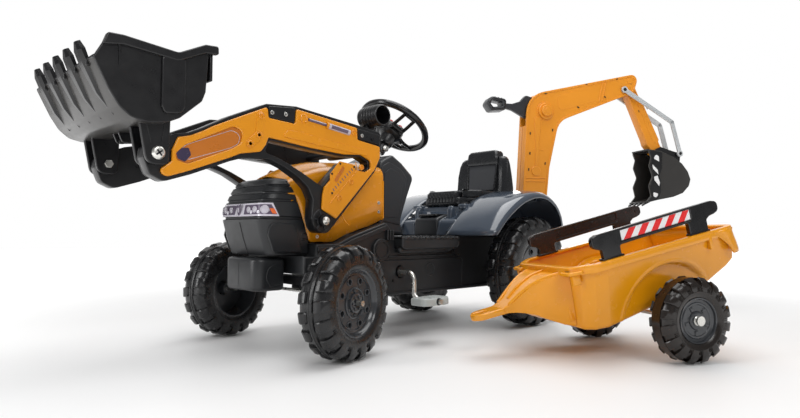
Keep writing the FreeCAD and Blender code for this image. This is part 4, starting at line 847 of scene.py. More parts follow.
shell = [seat_section(z, half, front, back, bolster, dish) for z, half, front, back, bolster,
    dish in ((356, 97, -46, -126, 2, 2), (396, 98, -54, -127, 5, 6), (420, 98, -64, -126, 8, 9),
    (460, 97, -68, -120, 9, 10), (495, 94, -73, -115, 7, 9), (512, 90, -77, -113, 4, 7), (520, 84, -81,
    -111, 1, 4), (523, 76, -86, -108, 0, 1))]
seat.loft("seat_back", shell, crisp=30, nodes=("seat",), slot="seat_plastic")
head = [[(x, y, z) for x, y in ((b, -w + 8), (b, w - 8), (b + 6, w), (f - 5, w), (f, w - 6), (f, -w + 6),
    (f - 5, -w), (b + 6, -w))] for z, w, f, b in ((498, 62, -70, -114), (510, 63, -68, -115),
    (535, 60, -72, -114), (542, 55, -76, -111), (545, 47, -82, -106))]
seat.loft("seat_headrest", head, crisp=34)
panel_back = [[(x, y, z) for x, y in ((f - 6, -w), (f, -w + 3), (f + 1.2, 0), (f, w - 3), (f - 6, w))]
    for z, w, f in ((412, 52, -64), (440, 54, -69.5), (470, 56, -72.5), (496, 58, -76), (500, 56, -79))]
seat.loft("seat_panel", panel_back, material=SEAT_PANEL, crisp=40)
seat.tube("seat_panel_piping", [(-62.5, -54, 412), (-68.5, -56, 440), (-72, -58, 470), (-75, -60, 498),
    (-75, 60, 498), (-72, 58, 470), (-68.5, 56, 440), (-62.5, 54, 412)], 2.0, bend=3)
seat.slab("seat_base", [(134, 68, 10), (96, 74, 20), (56, 97, 24), (-124, 97, 14), (-124, -97, 14),
    (56, -97, 24), (96, -74, 20), (134, -68, 10)], 353, 378, bevel=5)
seat.slab("seat_cushion", [(135, 58, 10), (40, 60, 20), (-60, 66, 16), (-60, -66, 16), (40, -60, 20),
    (135, -58, 10)], 374, 398, bevel=7)
seat.slab("seat_cushion_panel", [(104, 48, 14), (-44, 54, 14), (-44, -54, 14), (104, -48, 14)], 394, 400.5,
    material=SEAT_PANEL, bevel=2)
for side in (1, -1):
    seat.slab(f"seat_bolster_{side}", [(128, side * 64, 6), (96, side * 72, 20), (54, side * 95, 24),
        (-60, side * 96, 12), (-60, side * 70, 12), (20, side * 64, 20)], 374, 403, bevel=8)
    seat.tube(f"seat_gloss_edge_{side}", [(-58, side * 88, 404), (-72, side * 94, 424), (-80, side * 95.5,
        470), (-86, side * 92, 506)], 2.2)
for k in range(9):
    y = -52 + 13 * k
    seat.block(f"seat_front_rib_{k}", (131, y - 5.2, 362), (136.4, y + 5.2, 392), bevel=2.4)
seat.block("seat_front_lip", (128, -64, 356), (135.5, 64, 364), bevel=3)
for k in range(5):
    z = 415 + 20 * k
    seat.block(f"seat_rear_rib_{k}", (-128.5, -60, z - 3), (-118, 60, z + 3), bevel=2)


# ---------------------------------------------------------------- steering
def ring_path(radius, z):
    """A level circle for a round rod."""
    return [(*point, z) for point in circle((0, 0), radius, 64)]


tube("wheel_rim", ring_path(96, 0), 9.6, BLACK_GLOSS, "steering", bend=0, cyclic=True, place=STEERING,
    nodes=("steering_wheel",), slot="black_plastic")
tube("wheel_seam", ring_path(104.6, -2.0), 1.3, BLACK_GLOSS, "steering", bend=0, cyclic=True,
    place=STEERING)
UP = Matrix.Rotation(math.radians(90), 4, "X")
hub_place = STEERING @ UP
lathe("wheel_hub", [(-6, 0.1), (-6, 27), (-9, 32), (-16, 34), (-34, 32), (-40, 26), (-42, 22), (-66, 21),
    (-71, 18), (-71, 0.1)], BLACK, "steering", place=hub_place, count=48, closed=False)
for k, spoke in enumerate((60, 180, 300)):
    turn = Matrix.Rotation(math.radians(spoke + STEER), 4, "Z")
    for spread in (18, -18):
        tube(f"wheel_spoke_{k}_{spread}", [(18, spread, -24), (50, spread * 0.95, -20), (92, spread * 0.9,
            -4)], 5.0, BLACK_GLOSS, "steering", bend=20, place=STEERING @ turn)
    slab(f"wheel_spoke_root_{k}", [(14, -23, 4), (44, -21, 6), (44, 21, 6), (14, 23, 4)], -31, -18, BLACK,
        "steering", bevel=4, place=STEERING @ turn)
    slab(f"wheel_spoke_end_{k}", [(84, -22, 6), (92, -20, 4), (92, 20, 4), (84, 22, 6)], -10, 3,
        BLACK_GLOSS, "steering", bevel=3, place=STEERING @ turn)
block("wheel_horn_box", (-27, -20, -12), (27, 20, 0), BLACK, "steering", bevel=5,
    place=STEERING @ Matrix.Rotation(math.radians(STEER - 43), 4, "Z"))
for label, direction in (("left", 1), ("right", -1)):
    spot = STEERING @ Matrix.Translation((-13 * direction, 7.5 * direction, 0)) @ UP
    lathe(f"horn_{label}", [(10, 0.1), (10, 6.5), (-1.5, 6.5), (-2.8, 5.6), (-3.0, 0.1)], RED,
        f"horn_{label}", place=spot, count=32, closed=False, nodes=(f"horn_button_{label}",),
        slot="red_plastic")
lathe("column_tube", [(-72, 6.9), (-491, 6.9), (-491, 0.1), (-72, 0.1)], ZINC, "steering", place=hub_place,
    count=32, closed=False, nodes=("steering_column",), slot="zinc_steel")
lathe("column_clamp", [(-73, 7), (-73, 12), (-75, 13), (-98, 13), (-100, 12), (-100, 7)], BLACK,
    "steering", place=hub_place, count=32)
lathe("column_bolt", [(-21, 0.1), (-21, 8), (-15, 8), (-15, 4), (16, 4), (16, 9.5), (19, 9), (22, 5.5),
    (22, 0.1)], ZINC, "steering", place=STEERING @ Matrix.Translation((0, 0, -86)), count=24, closed=False)
arm = STEERING @ Matrix.Translation((0, 0, -489)) @ Matrix.Rotation(math.radians(STEER), 4, "Z")
slab("column_arm", [(9, 8, 6), (9, -53, 6), (-9, -53, 6), (-9, 8, 6)], -2, 2, BLACK_STEEL, "steering",
    bevel=0.6, place=arm)


# ---------------------------------------------------------------- crank and pedals
crank_place = at(436, 0, 169)
tube("crank_bar", [(0, -264, 66), (0, -172, 66), (0, -172, 0), (0, 172, 0), (0, 172, -66), (0, 264, -66)],
    6, ZINC, "crank", bend=24, place=crank_place, nodes=("crank_shaft",), slot="zinc_steel")
for label, side in (("left", 1), ("right", -1)):
    y = side * 226
    place = at(436, y, 169 - side * 66)
    body = f"pedal_{label}"
    slab(f"pedal_{label}_body", [(47, -24, 12), (47, 24, 12), (16, 29, 10), (-28, 29, 12), (-46, 22, 8),
        (-46, -22, 8), (-28, -29, 12), (16, -29, 10)], -9.5, 8.5, PEDAL, body, bevel=3.5, place=place,
        nodes=(f"pedal_{label}",), slot="light_grey_plastic")
    for k in range(6):
        block(f"pedal_{label}_rib_{k}", (-42 + 9 * k, -22, 7.5), (-38 + 9 * k, 22, 10), PEDAL, body,
            bevel=1.2, place=place)
    block(f"pedal_{label}_toe", (17, -18, -7), (47.8, 18, 9.5), PEDAL, body, bevel=3.5, place=place)
    block(f"pedal_{label}_step", (-48, -14, -6), (-38, 14, 4), PEDAL, body, bevel=2.5, place=place)
    lathe(f"pedal_{label}_cap", [(28, 0.1), (28, 9), (31, 8.6), (33.5, 5), (34, 0.1)] if side > 0
        else [(-28, 0.1), (-28, 9), (-31, 8.6), (-33.5, 5), (-34, 0.1)], BLACK, body, place=place,
        count=24, closed=False)
dress(BLACK_STEEL, "chainwheel", "drive_chain", "rear_axle")
dress(BLACK, "bearing_bushes", "front_axle_beam", "rear_bracket", "loader_pivot_tube",
    "loader_cross_tubes")
dress(ZINC, "stub_axle_left", "stub_axle_right", "tie_rod", "drag_link", "stick_rod", "trailer_axle")


# ---------------------------------------------------------------- loader arms
ARM = [(1100, 402, 8), (1088, 372, 14), (1062, 360, 20), (1010, 377, 40), (930, 409, 60), (898, 419, 40),
    (839, 421, 40), (802, 408, 30), (763, 387, 30), (738, 366, 20), (725, 341, 20), (728, 300, 12),
    (718, 267, 26), (684, 267, 20), (540, 418, 20), (523, 450, 30), (523, 516, 6), (601, 526, 10),
    (773, 543, 12), (848, 537, 12), (934, 498, 40), (990, 468, 30), (1016, 456, 10), (1043, 450, 10),
    (1078, 434, 12), (1098, 420, 8)]
SLOT = [(643, 431, 6), (701, 373, 5), (714, 378, 10), (750, 397, 20), (789, 415, 20), (827, 429, 10),
    (852, 434, 8), (840, 461, 8), (743, 452, 30), (644, 446, 30), (590, 450, 10), (564, 440, 8),
    (564, 424, 8), (578, 417, 6), (622, 421, 10)]
COVER = [(1050, 398, 6), (1050, 418, 8), (1039, 444, 6), (1014, 450, 8), (989, 462, 20), (970, 473, 20),
    (932, 491, 20), (848, 530, 5), (846, 507, 5), (779, 503, 5), (776, 536, 5), (603, 517, 4),
    (601, 489, 4), (529, 480, 5), (528, 453, 20), (545, 422, 16), (664, 300, 4), (705, 321, 6),
    (703, 353, 10), (698, 371, 6), (641, 430, 6), (621, 419, 6), (576, 414, 10), (559, 424, 8),
    (559, 442, 8), (590, 454, 10), (644, 450, 20), (743, 456, 20), (845, 466, 4), (851, 450, 6),
    (863, 434, 14), (909, 426, 20), (931, 416, 30), (1013, 384, 40), (1060, 368, 16), (1074, 380, 8)]
PAD = [(1043, 413, 9), (1024, 431, 12), (925, 479, 14), (905, 470, 13), (909, 447, 14), (928, 434, 14),
    (1020, 396, 14), (1041, 401, 9)]
RELIEF = [(814, 472, 6), (800, 487, 14), (776, 487, 10), (580, 467, 8), (564, 452, 4), (700, 462, 10)]


def boss(name, x, z, y, side, radius, material, body, hole=0.45):
    """A moulded ring boss on a side face."""
    place = facing(x, y, z, side)
    profile = [(-0.5, radius), (2.2, radius - 0.8), (3.0, radius - 2.2), (2.2, radius * hole + 1.2),
        (0.6, radius * hole), (0.6, 0.1), (-0.5, 0.1)]
    return lathe(name, profile, material, body, place=place, count=32, closed=False)


for label, side in (("left", 1), ("right", -1)):
    inner, outer, face = side * 108, side * 138, side * 144
    body = "loader"
    spoke_holes = []
    for k in range(6):
        a0, a1 = math.radians(60 * k + 12), math.radians(60 * k + 48)
        corners = ((13.5, (a0 + a1) / 2 - 0.02), (23, a0), (24.5, (a0 + a1) / 2), (23, a1))
        spoke_holes.append([(*polar(LOADER_PIVOT, r, a), 1.5) for r, a in corners])
    loader.plate(f"arm_{label}", ARM, inner + side * 4, outer, bevel=1.6, holes=[SLOT, circle(LOADER_PIVOT,
        8.05, 24)] + spoke_holes, nodes=(f"loader_arm_{label}",), slot="black_plastic")
    loader.plate(f"arm_inner_{label}", ARM, inner, inner + side * 5, bevel=1.6,
        holes=[SLOT, circle(LOADER_PIVOT, 8.05, 24)])
    loader.plate(f"cover_{label}", COVER, outer - side * 0.2, face, material=ORANGE, bevel=2.2,
        holes=[PAD], nodes=(f"arm_cover_{label}",), slot="orange_plastic")
    loader.plate(f"cover_pad_{label}", PAD, outer, side * 140.6, material=BADGE_PAD, bevel=0.6)
    centre = Vector((974, 437))
    inset = [(centre.x + (p[0] - centre.x) * 0.93, centre.y + (p[1] - centre.y) * 0.80, p[2]) for p in PAD]
    line = [(p.x, side * 140.7, p.y) for p in rounded(inset)]
    loader.tube(f"cover_pad_line_{label}", line, 0.55, material=LAMP_SILVER, bend=0, cyclic=True)
    loader.plate(f"cover_badge_{label}", [(1036, 424, 3), (1017, 426, 3), (1012, 413, 4), (1024, 399, 3),
        (1038, 404, 4), (1041, 415, 3)], side * 140, side * 142, material=BADGE, bevel=0.6)
    # moulded link bar with its three ring bosses, then the cylinder picture between its two bosses
    loader.plate(f"cover_link_{label}", pill((865, 508), (869, 468), 9), side * 143.5, side * 145.4,
        material=ORANGE, bevel=0.9, steps=1)
    loader.plate(f"cover_link_low_{label}", pill((869, 468), (889, 448), 9), side * 143.5, side * 145.6,
        material=ORANGE, bevel=0.9, steps=1)
    for k, (x, z) in enumerate(((865, 508), (869, 468), (889, 448))):
        boss(f"cover_link_boss_{label}_{k}", x, z, side * 145, side, 7.2, ORANGE, body)
    for k, (x, z, radius) in enumerate(((758, 518, 10.5), (614, 504, 8.5), (590, 424, 7.5),
            (622, 387, 7.5), (657, 348, 7.5))):
        boss(f"cover_boss_{label}_{k}", x, z, side * 144, side, radius, ORANGE, body, hole=0.6)
    loader.tube(f"cylinder_rod_{label}", [(746, side * 144.6, 517), (697, side * 144.6, 511.5)], 3.2,
        material=LAMP_DARK, bend=0)
    loader.tube(f"cylinder_rod_shine_{label}", [(744, side * 147, 518.4), (698, side * 147, 513)], 0.9,
        material=LAMP_PALE, bend=0)
    loader.tube(f"cylinder_barrel_{label}", [(694, side * 143.5, 511), (628, side * 143.5, 502.5)], 6.8,
        material=LAMP_SILVER, bend=0)
    loader.tube(f"cylinder_band_{label}", [(684, side * 145.5, 509.4), (636, side * 145.5, 503.2)], 5.4,
        material=LAMP_DARK, bend=0)
    loader.tube(f"cylinder_collar_{label}", [(697, side * 143.5, 511.5), (691, side * 143.5, 510.6)], 8.0,
        material=ORANGE, bend=0)
    loader.plate(f"cover_ridge_{label}", RELIEF, side * 143.5, side * 145.6, material=ORANGE, bevel=1.0)
    # black blocks where the cover is notched
    loader.plate(f"elbow_block_{label}", [(846, 532, 3), (844, 508, 3), (781, 505, 3), (779, 538, 3)],
        outer - side, side * 143, bevel=1.5)
    loader.plate(f"rear_block_{label}", [(599, 516, 3), (598, 491, 3), (528, 484, 4), (527, 508, 3)],
        outer - side, side * 143, bevel=1.5)
    for k, (x, z) in enumerate(((838, 519), (804, 520), (588, 500), (554, 496))):
        screw(f"arm_screw_{label}_{k}", x, z, side * 143, side, 4.6, ZINC if k != 3 else BLACK_STEEL, body)
    # lower plate: raised panel with a long rib, four screws, and the diagonal strip
    loader.plate(f"cover_panel_{label}", [(657, 433, 3), (609, 428, 3), (609, 418, 3), (676, 350, 3),
        (684, 356, 3), (684, 402, 4)], side * 143.5, side * 145, material=ORANGE, bevel=0.7)
    loader.plate(f"cover_panel_bar_{label}", pill((647, 417), (667, 389), 4.5), side * 144.8, side * 146.4,
        material=BADGE_PAD, bevel=0.7, steps=1)
    for k in range(9):
        x, z = 620 + 6.8 * k, 416 - 6.3 * k
        loader.plate(f"cover_strip_{label}_{k}", pill((x - 2, z - 1.6), (x + 1.6, z + 2.4), 1.1),
            side * 144.6, side * 145.4, material=LAMP_DARK, bevel=0.2, steps=1)
    for k, (x, z) in enumerate(((655, 427), (679, 402), (678, 358), (613, 423))):
        screw(f"cover_screw_{label}_{k}", x, z, side * 144.8, side, 2.6, BLACK_STEEL, body)
    loader.tube(f"cover_strip_edge_{label}", [(608, side * 144.4, 435), (603, side * 144.4, 416),
        (684, side * 144.4, 334)], 1.1, material=ORANGE, bend=4)
    # pivot: dark well, hub and chrome nut
    loader.lathe(f"pivot_hub_{label}", [(-2, 27), (2.6, 27), (3.4, 26), (3.4, 23.5), (2.2, 22.5),
        (2.2, 15), (5, 13.6), (5, 8.3), (-2, 8.3)], place=facing(700, outer - side * 2, 295, side),
        count=40)
    for k in range(6):
        turn = math.radians(60 * k + 12)
        rib = pill(polar(LOADER_PIVOT, 14, turn), polar(LOADER_PIVOT, 22, turn), 1.3)
        loader.plate(f"pivot_rib_{label}_{k}", rib, outer - side, outer + side * 2.6, material=CONSOLE,
            bevel=0.4, steps=1)
    chassis.lathe(f"pivot_nut_{label}", [(-1, 0.1), (-1, 11.5), (0.6, 11.5), (1.2, 8.5), (4.5, 7.4),
        (6.6, 4.8), (7.0, 3.2), (6.2, 2.8), (6.2, 0.1)], material=ZINC, place=facing(700, side * 152, 295,
        side), count=28, closed=False)
    # inner face: screw towers
    for k, (x, z) in enumerate(((1004, 410), (905, 452), (812, 495), (700, 490), (560, 492))):
        loader.disc(f"arm_tower_{label}_{k}", (x, z), 8, inner - side * 4, inner + side, bevel=1.2,
            bore=2.6, count=20)
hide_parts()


# ---------------------------------------------------------------- loader bucket
BUCKET_SKIN = [(1196, 556, 2), (1171, 506, 20), (1154, 480, 20), (1134, 464, 24), (1108, 459, 24),
    (1073, 462, 20), (1048, 474, 14), (1006, 511, 8), (999, 530, 6), (994, 604, 3), (1000, 604, 3),
    (1005, 532, 6), (1011, 516, 8), (1051, 480, 12), (1075, 468, 18), (1108, 465, 20), (1131, 470, 20),
    (1149, 484, 18), (1166, 509, 18), (1189, 558, 2)]
# the skin's lighter black is painted sheen on the same black plastic as the sides
bucket.plate("bucket_skin", BUCKET_SKIN, -168, 168, material=SKIN, bevel=1.2, nodes=("loader_bucket",),
    slot="black_plastic")
SIDE = [(1196, 556, 3), (1179, 588, 3), (1150, 592, 10), (1054, 585, 14), (1003, 610, 8), (994, 610, 3),
    (999, 530, 8), (1006, 511, 10), (1048, 474, 16), (1073, 462, 20), (1108, 459, 26), (1134, 464, 26),
    (1154, 480, 22), (1171, 506, 22)]
RIM_EDGE = [(1184, 578, 3), (1176, 600, 6), (1150, 601, 12), (1054, 592, 18), (1003, 618, 8),
    (977, 620, 4), (976, 604, 4), (1003, 601, 8), (1054, 576, 18), (1150, 584, 12), (1172, 580, 4)]
for side in (1, -1):
    bucket.plate(f"bucket_side_{side}", SIDE, side * 163, side * 170, bevel=1.8)
    bucket.plate(f"bucket_rim_{side}", RIM_EDGE, side * 164, side * 175.5, bevel=2.2)
    bucket.plate(f"bucket_bulge_{side}", [(1084, 580, 6), (1084, 492, 10), (1078, 478, 8), (1046, 482, 12),
        (1040, 494, 8), (1040, 584, 6)], side * 169, side * 174.5, bevel=2.4)
    bucket.plate(f"bucket_gusset_{side}", [(1158, 588, 1), (1156, 550, 1), (1153.5, 550, 1),
        (1154.5, 588, 1)], side * 169, side * 172, bevel=0.8)
    bucket.block(f"bucket_hook_{side}", (985, side * 120, 553), (991, side * 168, 606), bevel=1.6)
    for ear, (low, high) in enumerate(((142, 150.5), (98, 106))):
        bucket.plate(f"bucket_ear_{side}_{ear}", [(1056, 484, 4), (1058, 410, 6), (1059, 389, 17),
            (1098, 389, 17), (1104, 420, 20), (1116, 482, 4)], side * low, side * high, bevel=1.8)
    for k, (top, low) in enumerate(((1068, 1073), (1101, 1091))):
        bucket.tube(f"bucket_ear_line_{side}_{k}", [(top, side * 150.3, 464), (low, side * 150.3, 428)],
            1.0, bend=0)
    bucket.disc(f"bucket_spacer_{side}", BUCKET_PIVOT, 19, side * 138.2, side * 142.2, material=CHARCOAL,
        bevel=1.2)
    bucket.lathe(f"bucket_bolt_{side}", [(0, 5), (0, 12), (1.4, 12.4), (4.4, 10.6), (5.8, 7), (5.8, 0.1)],
        material=ZINC, place=facing(1078, side * 150.4, 410, side), count=40, closed=False)
    # dark steel blocks across each zinc bolt head: painted shade in its cross slot
    for k in range(2):
        bucket.block(f"bucket_bolt_slot_{side}_{k}", (-7.2, -0.4, -1.5), (7.2, 0.4, 1.5),
            material=BLACK_STEEL, bevel=0.2, place=at(1078, side * 156.3, 410, (38 + 90 * k, "Y")))
    nut = circle(BUCKET_PIVOT, 9, 6)
    bucket.plate(f"bucket_nut_{side}", nut, side * 92, side * 98, material=ZINC, bevel=0.8, steps=1)
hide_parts("bucket_pivot_bolts")
bucket.tube("bucket_rear_lip", [(989, -168, 604), (989, 168, 604)], 4.2, bend=0)
bucket.tube("bucket_front_lip", [(1193, -166, 557), (1193, 166, 557)], 3.6, bend=0)
FACE = [(1146, 473), (1171, 507), (1194, 552), (1204, 574), (1210, 587)]
for k in range(5):
    y = 122 - 61 * k
    rings = []
    for (x, z), width, out, deep in zip(FACE, (1.0, 16, 26, 24, 13), (0.6, 5, 6.5, 6, 2), (1, 3, 5, 7, 6)):
        # out is measured away from the bucket, towards the front and below
        nx, nz = 0.894, -0.447
        rings.append([(x - nx * deep, y - width / 2, z - nz * deep), (x, y - width / 2, z), (x + nx * out,
            y - width / 2 + min(4, width * 0.3), z + nz * out), (x + nx * out, y + width / 2 - min(4,
            width * 0.3), z + nz * out), (x, y + width / 2, z), (x - nx * deep, y + width / 2,
            z - nz * deep)])
    bucket.loft(f"bucket_tooth_{k}", rings, material=BLACK_GLOSS, crisp=18)
    for step in (-1, 1):
        bucket.block(f"bucket_tooth_foot_{k}_{step}", (1188, y + step * 16 - 3, 546),
            (1198, y + step * 16 + 3, 556), bevel=1.5)
for k, y in enumerate((13.5, -13.5)):
    bucket.plate(f"bucket_lug_{k}", [(1068, 476, 3), (1076, 442, 7), (1092, 442, 7), (1106, 474, 3)],
        y - 2.5, y + 2.5, bevel=1.0)
for k in range(4):
    bucket.block(f"bucket_belly_rib_{k}", (1052, -132 + 84 * k, 462), (1112, -124 + 84 * k, 470),
        bevel=1.5)


# ---------------------------------------------------------------- loader lever and rod
lever.disc("lever_hub", (560, 470), 15, -14, 78, bevel=2, bore=8.1, nodes=("loader_lever",),
    slot="black_plastic")
lever.plate("lever_crank", [(550, 478, 4), (554, 516, 8), (576, 516, 8), (572, 478, 4)], -6, 6, bevel=1.4)
lever.plate("lever_stem", [(548, 462, 6), (487, 528, 14), (480, 547, 4), (508, 547, 4), (513, 535, 14),
    (574, 482, 6)], 51, 75, bevel=3)
lever.plate("lever_stem_rib", [(548, 470, 3), (492, 531, 10), (489, 543, 3), (500, 543, 3), (504, 534, 10),
    (562, 480, 3)], 49, 77, bevel=1.5)
grip = at(496, 0, 567)
lever.lathe("lever_grip", [(48, 0.1), (48, 23), (50, 27), (54, 28), (114, 28), (118.5, 27), (120, 25),
    (119, 23.2), (60, 22.6), (60, 0.1)], place=grip, count=56, closed=False, crisp=40)
for k in range(5):
    lever.lathe(f"lever_grip_ring_{k}", [(64 + 10 * k, 27.5), (66 + 10 * k, 28.7), (68 + 10 * k, 28.7),
        (70 + 10 * k, 27.5)], place=grip, count=56)
for k, y in enumerate((8, -8)):
    plate(f"rod_strap_{k}", pill((566, 508), (1084, 448), 6.2), y - 1.5, y + 1.5, BLACK, "bucket_rod",
        bevel=0.6, steps=1)
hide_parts("bucket_rod")
tube("rod_pin", [(566, -12, 508), (566, 12, 508)], 3, ZINC, "bucket_rod", bend=0)
tube("rod_pin_front", [(1084, -12, 448), (1084, 12, 448)], 3, ZINC, "bucket_rod", bend=0)


# ---------------------------------------------------------------- excavator
def inset(corners, distance):
    """The closed outline moved inwards."""
    area = sum(corners[i - 1][0] * c[1] - c[0] * corners[i - 1][1] for i, c in enumerate(corners))
    sign = 1.0 if area > 0 else -1.0
    result = []
    for i, corner in enumerate(corners):
        here = Vector(corner[:2])
        back = (here - Vector(corners[i - 1][:2])).normalized()
        ahead = (Vector(corners[(i + 1) % len(corners)][:2]) - here).normalized()
        n0, n1 = Vector((-back.y, back.x)) * sign, Vector((-ahead.y, ahead.x)) * sign
        moved = here + (n0 + n1) * (distance / (1 + n0.dot(n1)))
        radius = corner[2] if len(corner) > 2 else 0.0
        convex = (back.x * ahead.y - back.y * ahead.x) * sign > 0
        result.append((moved.x, moved.y, max(0.5, radius - distance) if convex
            else radius + (distance if radius else 0)))
    return result


BOOM_SIDE = [(-31, 292), (67, 292), (67, 402), (78, 510, 60), (118, 683, 70), (440, 811, 28),
    (466, 888, 34), (-7, 774, 85), (-29, 404)]
for side in (-1, 1):
    label = "right" if side < 0 else "left"
    boom.plate(f"boom_wall_{label}", BOOM_SIDE, side * 19.5, side * 28, bevel=2.5,
        nodes=(f"boom_shell_{label}",), slot="orange_plastic")
    boom.plate(f"boom_rim_{label}", BOOM_SIDE, side * 26, side * 30, bevel=1.4,
        holes=[inset(BOOM_SIDE, 7.5)])
    # clip and slot marks in near-black: painted shade inside the openings
    for k, (x, z, turn) in enumerate(((2, 633, 88), (92, 649, 76), (-5, 501, 88), (61, 525, 80),
            (65, 783, 14), (234, 829, 14), (199, 740, -20), (313, 786, -20), (0, 560, 88),
            (366, 858, 14))):
        boom.block(f"boom_clip_{label}_{k}", (-4.6, side * 29, -1.9), (4.6, side * 30.4, 1.9),
            material=HOLE_SHADE, bevel=0.3, place=SWING @ at(x, 0, z, (-turn, "Y")))
    for k, (x, z, turn) in enumerate(((436, 874, -14), (423, 848, 34))):
        boom.block(f"boom_slot_{label}_{k}", (-8.5, side * 27.6, -1.5), (8.5, side * 28.6, 1.5),
            material=HOLE_SHADE, bevel=0.5, place=SWING @ at(x, 0, z, (turn, "Y")))
    boom.disc(f"boom_low_boss_{label}", (24, 496), 18, side * 27, side * 31, bevel=2)
    boom.disc(f"boom_boss_{label}", BOOM_KNOB, 35, side * 27, side * 30.5, bevel=2)
    boom.disc(f"boom_knob_base_{label}", BOOM_KNOB, 30, side * 30, side * 37, bevel=3)
    boom.disc(f"boom_knob_{label}", BOOM_KNOB, 21, side * 36, side * 45, bevel=3.4)
    boom.disc(f"boom_knob_cap_{label}", BOOM_KNOB, 10, side * 44, side * 46.4, bevel=1.0)
    boom.plate(f"boom_taper_{label}", [(47, 694, 6), (36, 580, 4), (28, 515, 4), (20, 515, 4),
        (22, 580, 4), (18, 694, 6)], side * 27, side * 30.2, bevel=1.4)
    for k, z in enumerate((459, 471)):
        boom.tube(f"boom_rib_{label}_{k}", [(-24, side * 28.2, z), (62, side * 28.2, z)], 2.1, bend=0)
    boom.tube(f"boom_mark_{label}", [(14, side * 28, 577), (56, side * 28, 573)], 1.1, bend=0)
    for k, (top, low) in enumerate(((306, 288), (320, 302))):
        boom.tube(f"boom_diagonal_{label}_{k}", [(top, side * 28, 846 + 3 * k), (low, side * 28,
            766 + 5 * k)], 2.2, bend=0)
    # recessed name field, left blank
    boom.plate(f"boom_field_{label}", [(112, 774, 12), (120, 722, 14), (280, 770, 8), (294, 828, 10),
        (150, 792, 12)], side * 27.6, side * 28.7, bevel=0.5)
    boom.disc(f"boom_end_boss_{label}", (423, 856), 12, side * 27.5, side * 29.5, bevel=1.2)
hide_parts("boom_pins")
for name, outline in (("boom_top_strip", [(430, 879), (50, 788), (50, 782), (431, 873)]),
        ("boom_back_strip", [(-13.9, 662), (-29, 404), (-31, 292), (-25, 292), (-23, 404), (-8.6, 662)]),
        ("boom_front_strip", [(67, 292), (67, 402), (78, 510, 60), (118, 683, 68), (372, 784), (370, 790),
        (113, 688, 64), (73, 511, 60), (62, 402), (62, 292)]), ("boom_foot", [(-30, 292), (66, 292),
        (66, 300), (-30, 300)])):
    boom.plate(name, outline, -20, 20, bevel=0.8)
boom.tube("boom_seam_back", [(-14.1, 0, 660), (-29.4, 0, 404), (-31.4, 0, 296)], 1.0, material=BADGE_PAD,
    bend=0)
boom.lathe("swing_collar", [(263, 34), (263, 10.2), (291, 10.2), (291, 30), (286, 34)], material=BLACK,
    place=SWING @ Matrix.Rotation(math.radians(90), 4, "X"), count=56, nodes=("swing_socket",),
    slot="black_plastic")

stem = [(66, 703, 8), (76, 717, 12), (66, 731, 8), (22, 768, 10), (-8, 776, 14), (-30, 752, 10),
    (-62, 741, 10), (-100, 741, 4), (-102, 726, 4), (-60, 717, 10), (-26, 700, 12), (-6, 690, 10),
    (20, 700, 10)]
handle_kit.plate("handle_stem", stem, -14, 4, bevel=3, nodes=("excavator_handle",), slot="black_plastic",
    holes=[circle(BOOM_KNOB, 5.1, 20)])
grip = [(-92, 714, 9), (-88, 754, 12), (-148, 762, 16), (-166, 736, 14), (-146, 709, 12)]
finger_gap = [(-104, 728, 5), (-104, 743, 6), (-142, 748, 7), (-151, 736, 6), (-140, 723, 6)]
handle_kit.plate("handle_loop", grip, -26, 26, bevel=5, holes=[finger_gap])
for side in (-1, 1):
    wide = [(-96, 718, 8), (-93, 750, 9), (-145, 757, 12), (-160, 736, 10), (-143, 714, 9)]
    handle_kit.plate(f"handle_edge_{side}", wide, side * 24, side * 27, material=BLACK_GLOSS, bevel=1.2,
        holes=[inset(wide, 4)])
for k in range(3):
    handle_kit.tube(f"handle_rib_{k}", [(-106 - 13 * k, -20, 756.5 + 1.6 * k), (-106 - 13 * k, 20,
        756.5 + 1.6 * k)], 2.2, bend=0)

STICK_SIDE = [(403, 844, 6), (410, 867, 9), (435, 867, 9), (446, 848, 8), (571, 599, 8), (561, 576, 12),
    (537, 578, 12), (505, 613, 6), (499, 633, 6)]
stick.plate("stick_body", STICK_SIDE, -16, 16, bevel=2, nodes=("excavator_stick",), slot="orange_plastic")
for side in (-1, 1):
    stick.plate(f"stick_rim_{side}", STICK_SIDE, side * 14.5, side * 18, bevel=1.2,
        holes=[inset(STICK_SIDE, 6)])
    stick.plate(f"stick_panel_{side}", [(458, 786, 6), (478, 796, 6), (560, 634, 7), (548, 622, 6),
        (530, 630, 6)], side * 15.5, side * 17.2, bevel=0.8)
    # clip marks in near-black: painted shade inside the openings
    for k, (x, z) in enumerate(((470, 743), (534, 664), (507, 756))):
        stick.block(f"stick_clip_{side}_{k}", (-4, side * 17, -1.5), (4, side * 17.8, 1.5), material=HOLE_SHADE,
            bevel=0.3, place=SWING @ at(x, 0, z, (62, "Y")))
    screw(f"stick_screw_{side}", 566, 606, side * 17.5, side, 4.2, ZINC, "stick", place=SWING)
    stick.lathe(f"bucket_pin_{side}", [(0, 0.1), (0, 7.5), (2.5, 7), (4, 4), (4.2, 0.1)], material=ZINC,
        place=SWING @ facing(549, side * 18, 593, side), count=24, closed=False)

